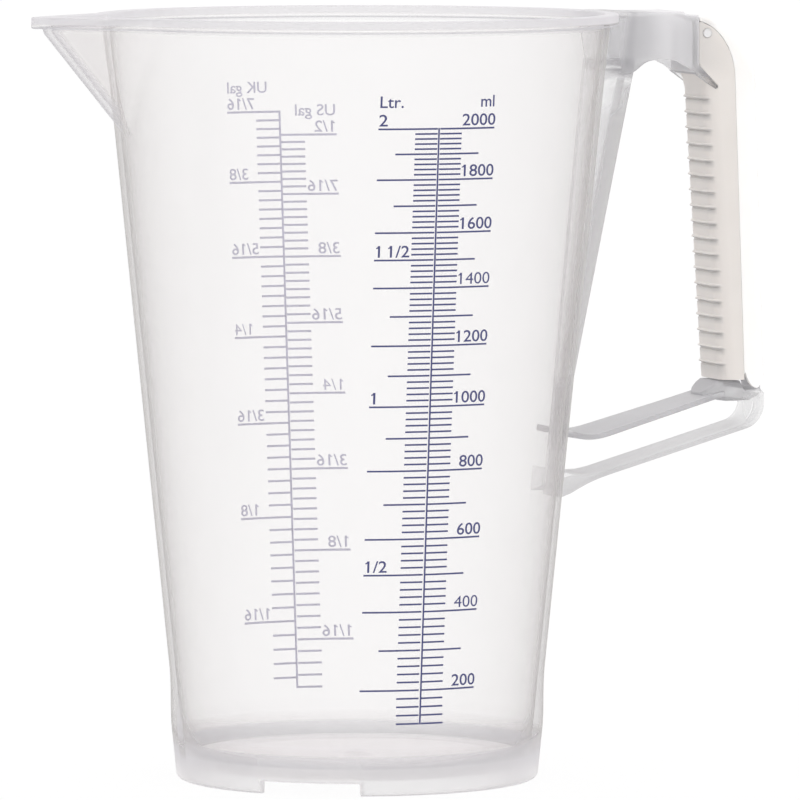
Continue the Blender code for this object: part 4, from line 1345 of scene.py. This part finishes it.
def make_litre_scale(ink_look, underside, size):
    """Litres on the left, millilitres on the right, a mark every 20 ml."""
    small, medium, long = LITRE_MARKS
    middle = LITRE_SIDE + LITRE_SHIFT / wall_radius(0.5 * HEIGHT)
    ink = bmesh.new()
    for millilitres in range(LITRE_FIRST, LITRE_LAST + 1, LITRE_STEP):
        left = right = small
        if millilitres % 100 == 0:
            left = right = medium
        if millilitres % 200 == 0:
            left = right = long
        if millilitres in (500, 1500):
            left = long
        height = mark_height(millilitres) + LITRE_LIFT
        add_tick(ink, middle, height, left, right)
        if millilitres % 200 == 0:
            label = str(millilitres)
            add_text(ink, label, size, middle, long + LABEL_PAST, height + LABEL_RISE, "RIGHT")
    for millilitres, label in ((2000, "2"), (1500, "1 1/2"), (1000, "1"), (500, "1/2")):
        height = mark_height(millilitres) + LITRE_LIFT
        add_text(ink, label, size, middle, -long, height + LABEL_RISE, "LEFT")
    heading = mark_height(LITRE_LAST) + LITRE_LIFT + LABEL_RISE + LITRE_HEADING
    add_text(ink, "Ltr.", size, middle, -long, heading, "LEFT")
    add_text(ink, "ml", size, middle, long, heading, "RIGHT")
    half = 0.5 * INK_LINE
    low = mark_height(LITRE_FIRST) + LITRE_LIFT - half
    add_stroke(ink, middle, -half, half, low, mark_height(LITRE_LAST) + LITRE_LIFT + half)
    scale = finish_object("litre_scale_ink", ink)
    dress(scale, ink_look, [])
    show_underside(scale, underside)


def fraction(sixteenths):
    """A count of sixteenths as the fraction that a scale shows."""
    whole = 16
    while sixteenths % 2 == 0:
        sixteenths //= 2
        whole //= 2
    return "%d/%d" % (sixteenths, whole)


def add_gallons(ink, size, sixteenth, most, direction, align, heading):
    """One column of the gallon scale, with eight marks to each sixteenth."""
    small, long = GALLON_MARKS
    divisions = GALLON_DIVISIONS
    half = 0.5 * GALLON_LINE
    for count in range(divisions // 2, most * divisions + 1):
        reach = small if count % divisions else long
        height = mark_height(sixteenth * count / divisions) + GALLON_LIFT
        ends = sorted((direction * half, direction * reach))
        add_stroke(ink, GALLON_SIDE, ends[0], ends[1], height - half, height + half)
        if count % divisions == 0:
            label = fraction(count // divisions)
            add_text(ink, label, size, GALLON_SIDE, direction * long, height + LABEL_RISE, align)
    top = mark_height(sixteenth * most) + GALLON_LIFT + LABEL_RISE + GALLON_HEADING
    add_text(ink, heading, size, GALLON_SIDE, direction * long, top, align)
    return height


def make_gallon_scale(ink_look, underside, size):
    """US gallons on the left and UK gallons on the right, on the far side of the jug."""
    ink = bmesh.new()
    add_gallons(ink, size, US_SIXTEENTH, 8, -1.0, "LEFT", "US gal")
    top = add_gallons(ink, size, UK_SIXTEENTH, 7, 1.0, "RIGHT", "UK gal")
    half = 0.5 * GALLON_LINE
    low = mark_height(0.5 * US_SIXTEENTH) + GALLON_LIFT
    add_stroke(ink, GALLON_SIDE, -half, half, low - half, top + half)
    scale = finish_object("gallon_scale_ink", ink)
    dress(scale, ink_look, [])
    show_underside(scale, underside)


# ---------------------------------------------------------------- studio

def make_floor():
    """A pale floor that reads as plain white, with a faint shade under the jug."""
    mesh_builder = bmesh.new()
    bmesh.ops.create_grid(mesh_builder, x_segments=8, y_segments=8, size=30.0)
    floor = finish_object("studio_floor", mesh_builder)
    material, tree, output = new_material("studio_floor_paint")
    diffuse = add_node(tree, "ShaderNodeBsdfDiffuse", {"Color": (0.72, 0.72, 0.72, 1.0)}).outputs[0]
    shaded = add_node(tree, "ShaderNodeBsdfDiffuse", {"Color": (0.06, 0.06, 0.06, 1.0)}).outputs[0]
    glow = add_node(tree, "ShaderNodeEmission", {"Strength": 0.93}).outputs[0]
    seen = add_node(tree, "ShaderNodeLightPath").outputs["Is Camera Ray"]
    lit = add_node(tree, "ShaderNodeAddShader", {0: shaded, 1: glow}).outputs[0]
    surface = add_node(tree, "ShaderNodeMixShader", {0: seen, 1: diffuse, 2: lit}).outputs[0]
    tree.links.new(surface, output.inputs["Surface"])
    floor.data.materials.append(material)


def make_world():
    """White to the camera; as light, brighter from above and the right."""
    world = bpy.data.worlds.new("studio")
    world.use_nodes = True
    tree = world.node_tree
    tree.nodes.clear()
    direction = add_node(tree, "ShaderNodeTexCoord").outputs["Generated"]
    right = (math.cos(CAMERA_AZIMUTH), math.sin(CAMERA_AZIMUTH), 0.0)
    dot = add_node(tree, "ShaderNodeVectorMath", {0: direction, 1: right}, operation="DOT_PRODUCT")
    rise = add_node(tree, "ShaderNodeSeparateXYZ", {0: direction}).outputs["Z"]
    level = math_node(tree, "MULTIPLY_ADD", dot.outputs["Value"], 0.03, 1.14)
    level = math_node(tree, "MULTIPLY_ADD", rise, 0.30, level)
    tint = {"Color": (1.0, 0.985, 0.975, 1.0), "Strength": level}
    light = add_node(tree, "ShaderNodeBackground", tint).outputs[0]
    plain = {"Color": (1.0, 1.0, 1.0, 1.0), "Strength": 1.0}
    white = add_node(tree, "ShaderNodeBackground", plain).outputs[0]
    seen = add_node(tree, "ShaderNodeLightPath").outputs["Is Camera Ray"]
    mixed = add_node(tree, "ShaderNodeMixShader", {0: seen, 1: light, 2: white}).outputs[0]
    output = tree.nodes.new("ShaderNodeOutputWorld")
    tree.links.new(mixed, output.inputs["Surface"])
    bpy.context.scene.world = world


def make_camera():
    """A long lens from far off, a little above the rim."""
    across = CAMERA_DISTANCE * math.sin(CAMERA_AZIMUTH)
    eye = place(across, -CAMERA_DISTANCE * math.cos(CAMERA_AZIMUTH), CAMERA_HEIGHT)
    target = place(*CAMERA_TARGET)
    data = bpy.data.cameras.new("camera")
    data.lens = CAMERA_LENS
    data.sensor_width = 36.0
    data.clip_end = 100.0
    camera = bpy.data.objects.new("camera", data)
    camera.location = eye
    camera.rotation_mode = "QUATERNION"
    camera.rotation_quaternion = (target - eye).to_track_quat("-Z", "Y")
    bpy.context.scene.collection.objects.link(camera)
    bpy.context.scene.camera = camera


def set_view():
    """Plain colour handling, and enough bounces for light to pass many clear walls."""
    scene = bpy.context.scene
    scene.view_settings.view_transform = "Standard"
    scene.view_settings.look = "None"
    scene.cycles.max_bounces = 12
    scene.cycles.diffuse_bounces = 8
    scene.cycles.glossy_bounces = 4
    scene.cycles.transparent_max_bounces = 48


def main():
    """Set up the studio, then build every piece and both scales."""
    make_camera()
    make_world()
    make_floor()
    set_view()
    wall = polypropylene("jug_polypropylene", WALL_TINTS_WITH_PAINTED_SHADING, (0.041, 0.4), 0.2)
    frame_plastic = polypropylene("frame_polypropylene", FRAME_TINTS_WITH_PAINTED_SHADING, (0.06, 0.6), 0.22)
    grip = moulded_plastic("grip_plastic", *GRIP_COLOURS, 0.42, 0.15)
    cover = moulded_plastic("cover_plastic", *COVER_COLOURS, 0.34, 0.2)
    pin = moulded_plastic("pin_plastic", *PIN_COLOURS, 0.3, 0.1)
    ink = printed_ink("scale_ink", *INK_COLOURS, 0.15)
    # A paler copy of the ink: painted light on the faces seen through the wall.
    lightened_ink = printed_ink("scale_ink_underside_painted_light", *INK_UNDERSIDE_LIGHTENED_COLOURS, 0.3)
    make_vessel(wall)
    make_handle_frame(frame_plastic)
    make_grip_shell(grip)
    make_back_cover(cover)
    make_pin(pin)
    size = letter_size()
    make_litre_scale(ink, lightened_ink, size)
    make_gallon_scale(ink, lightened_ink, size)


main()
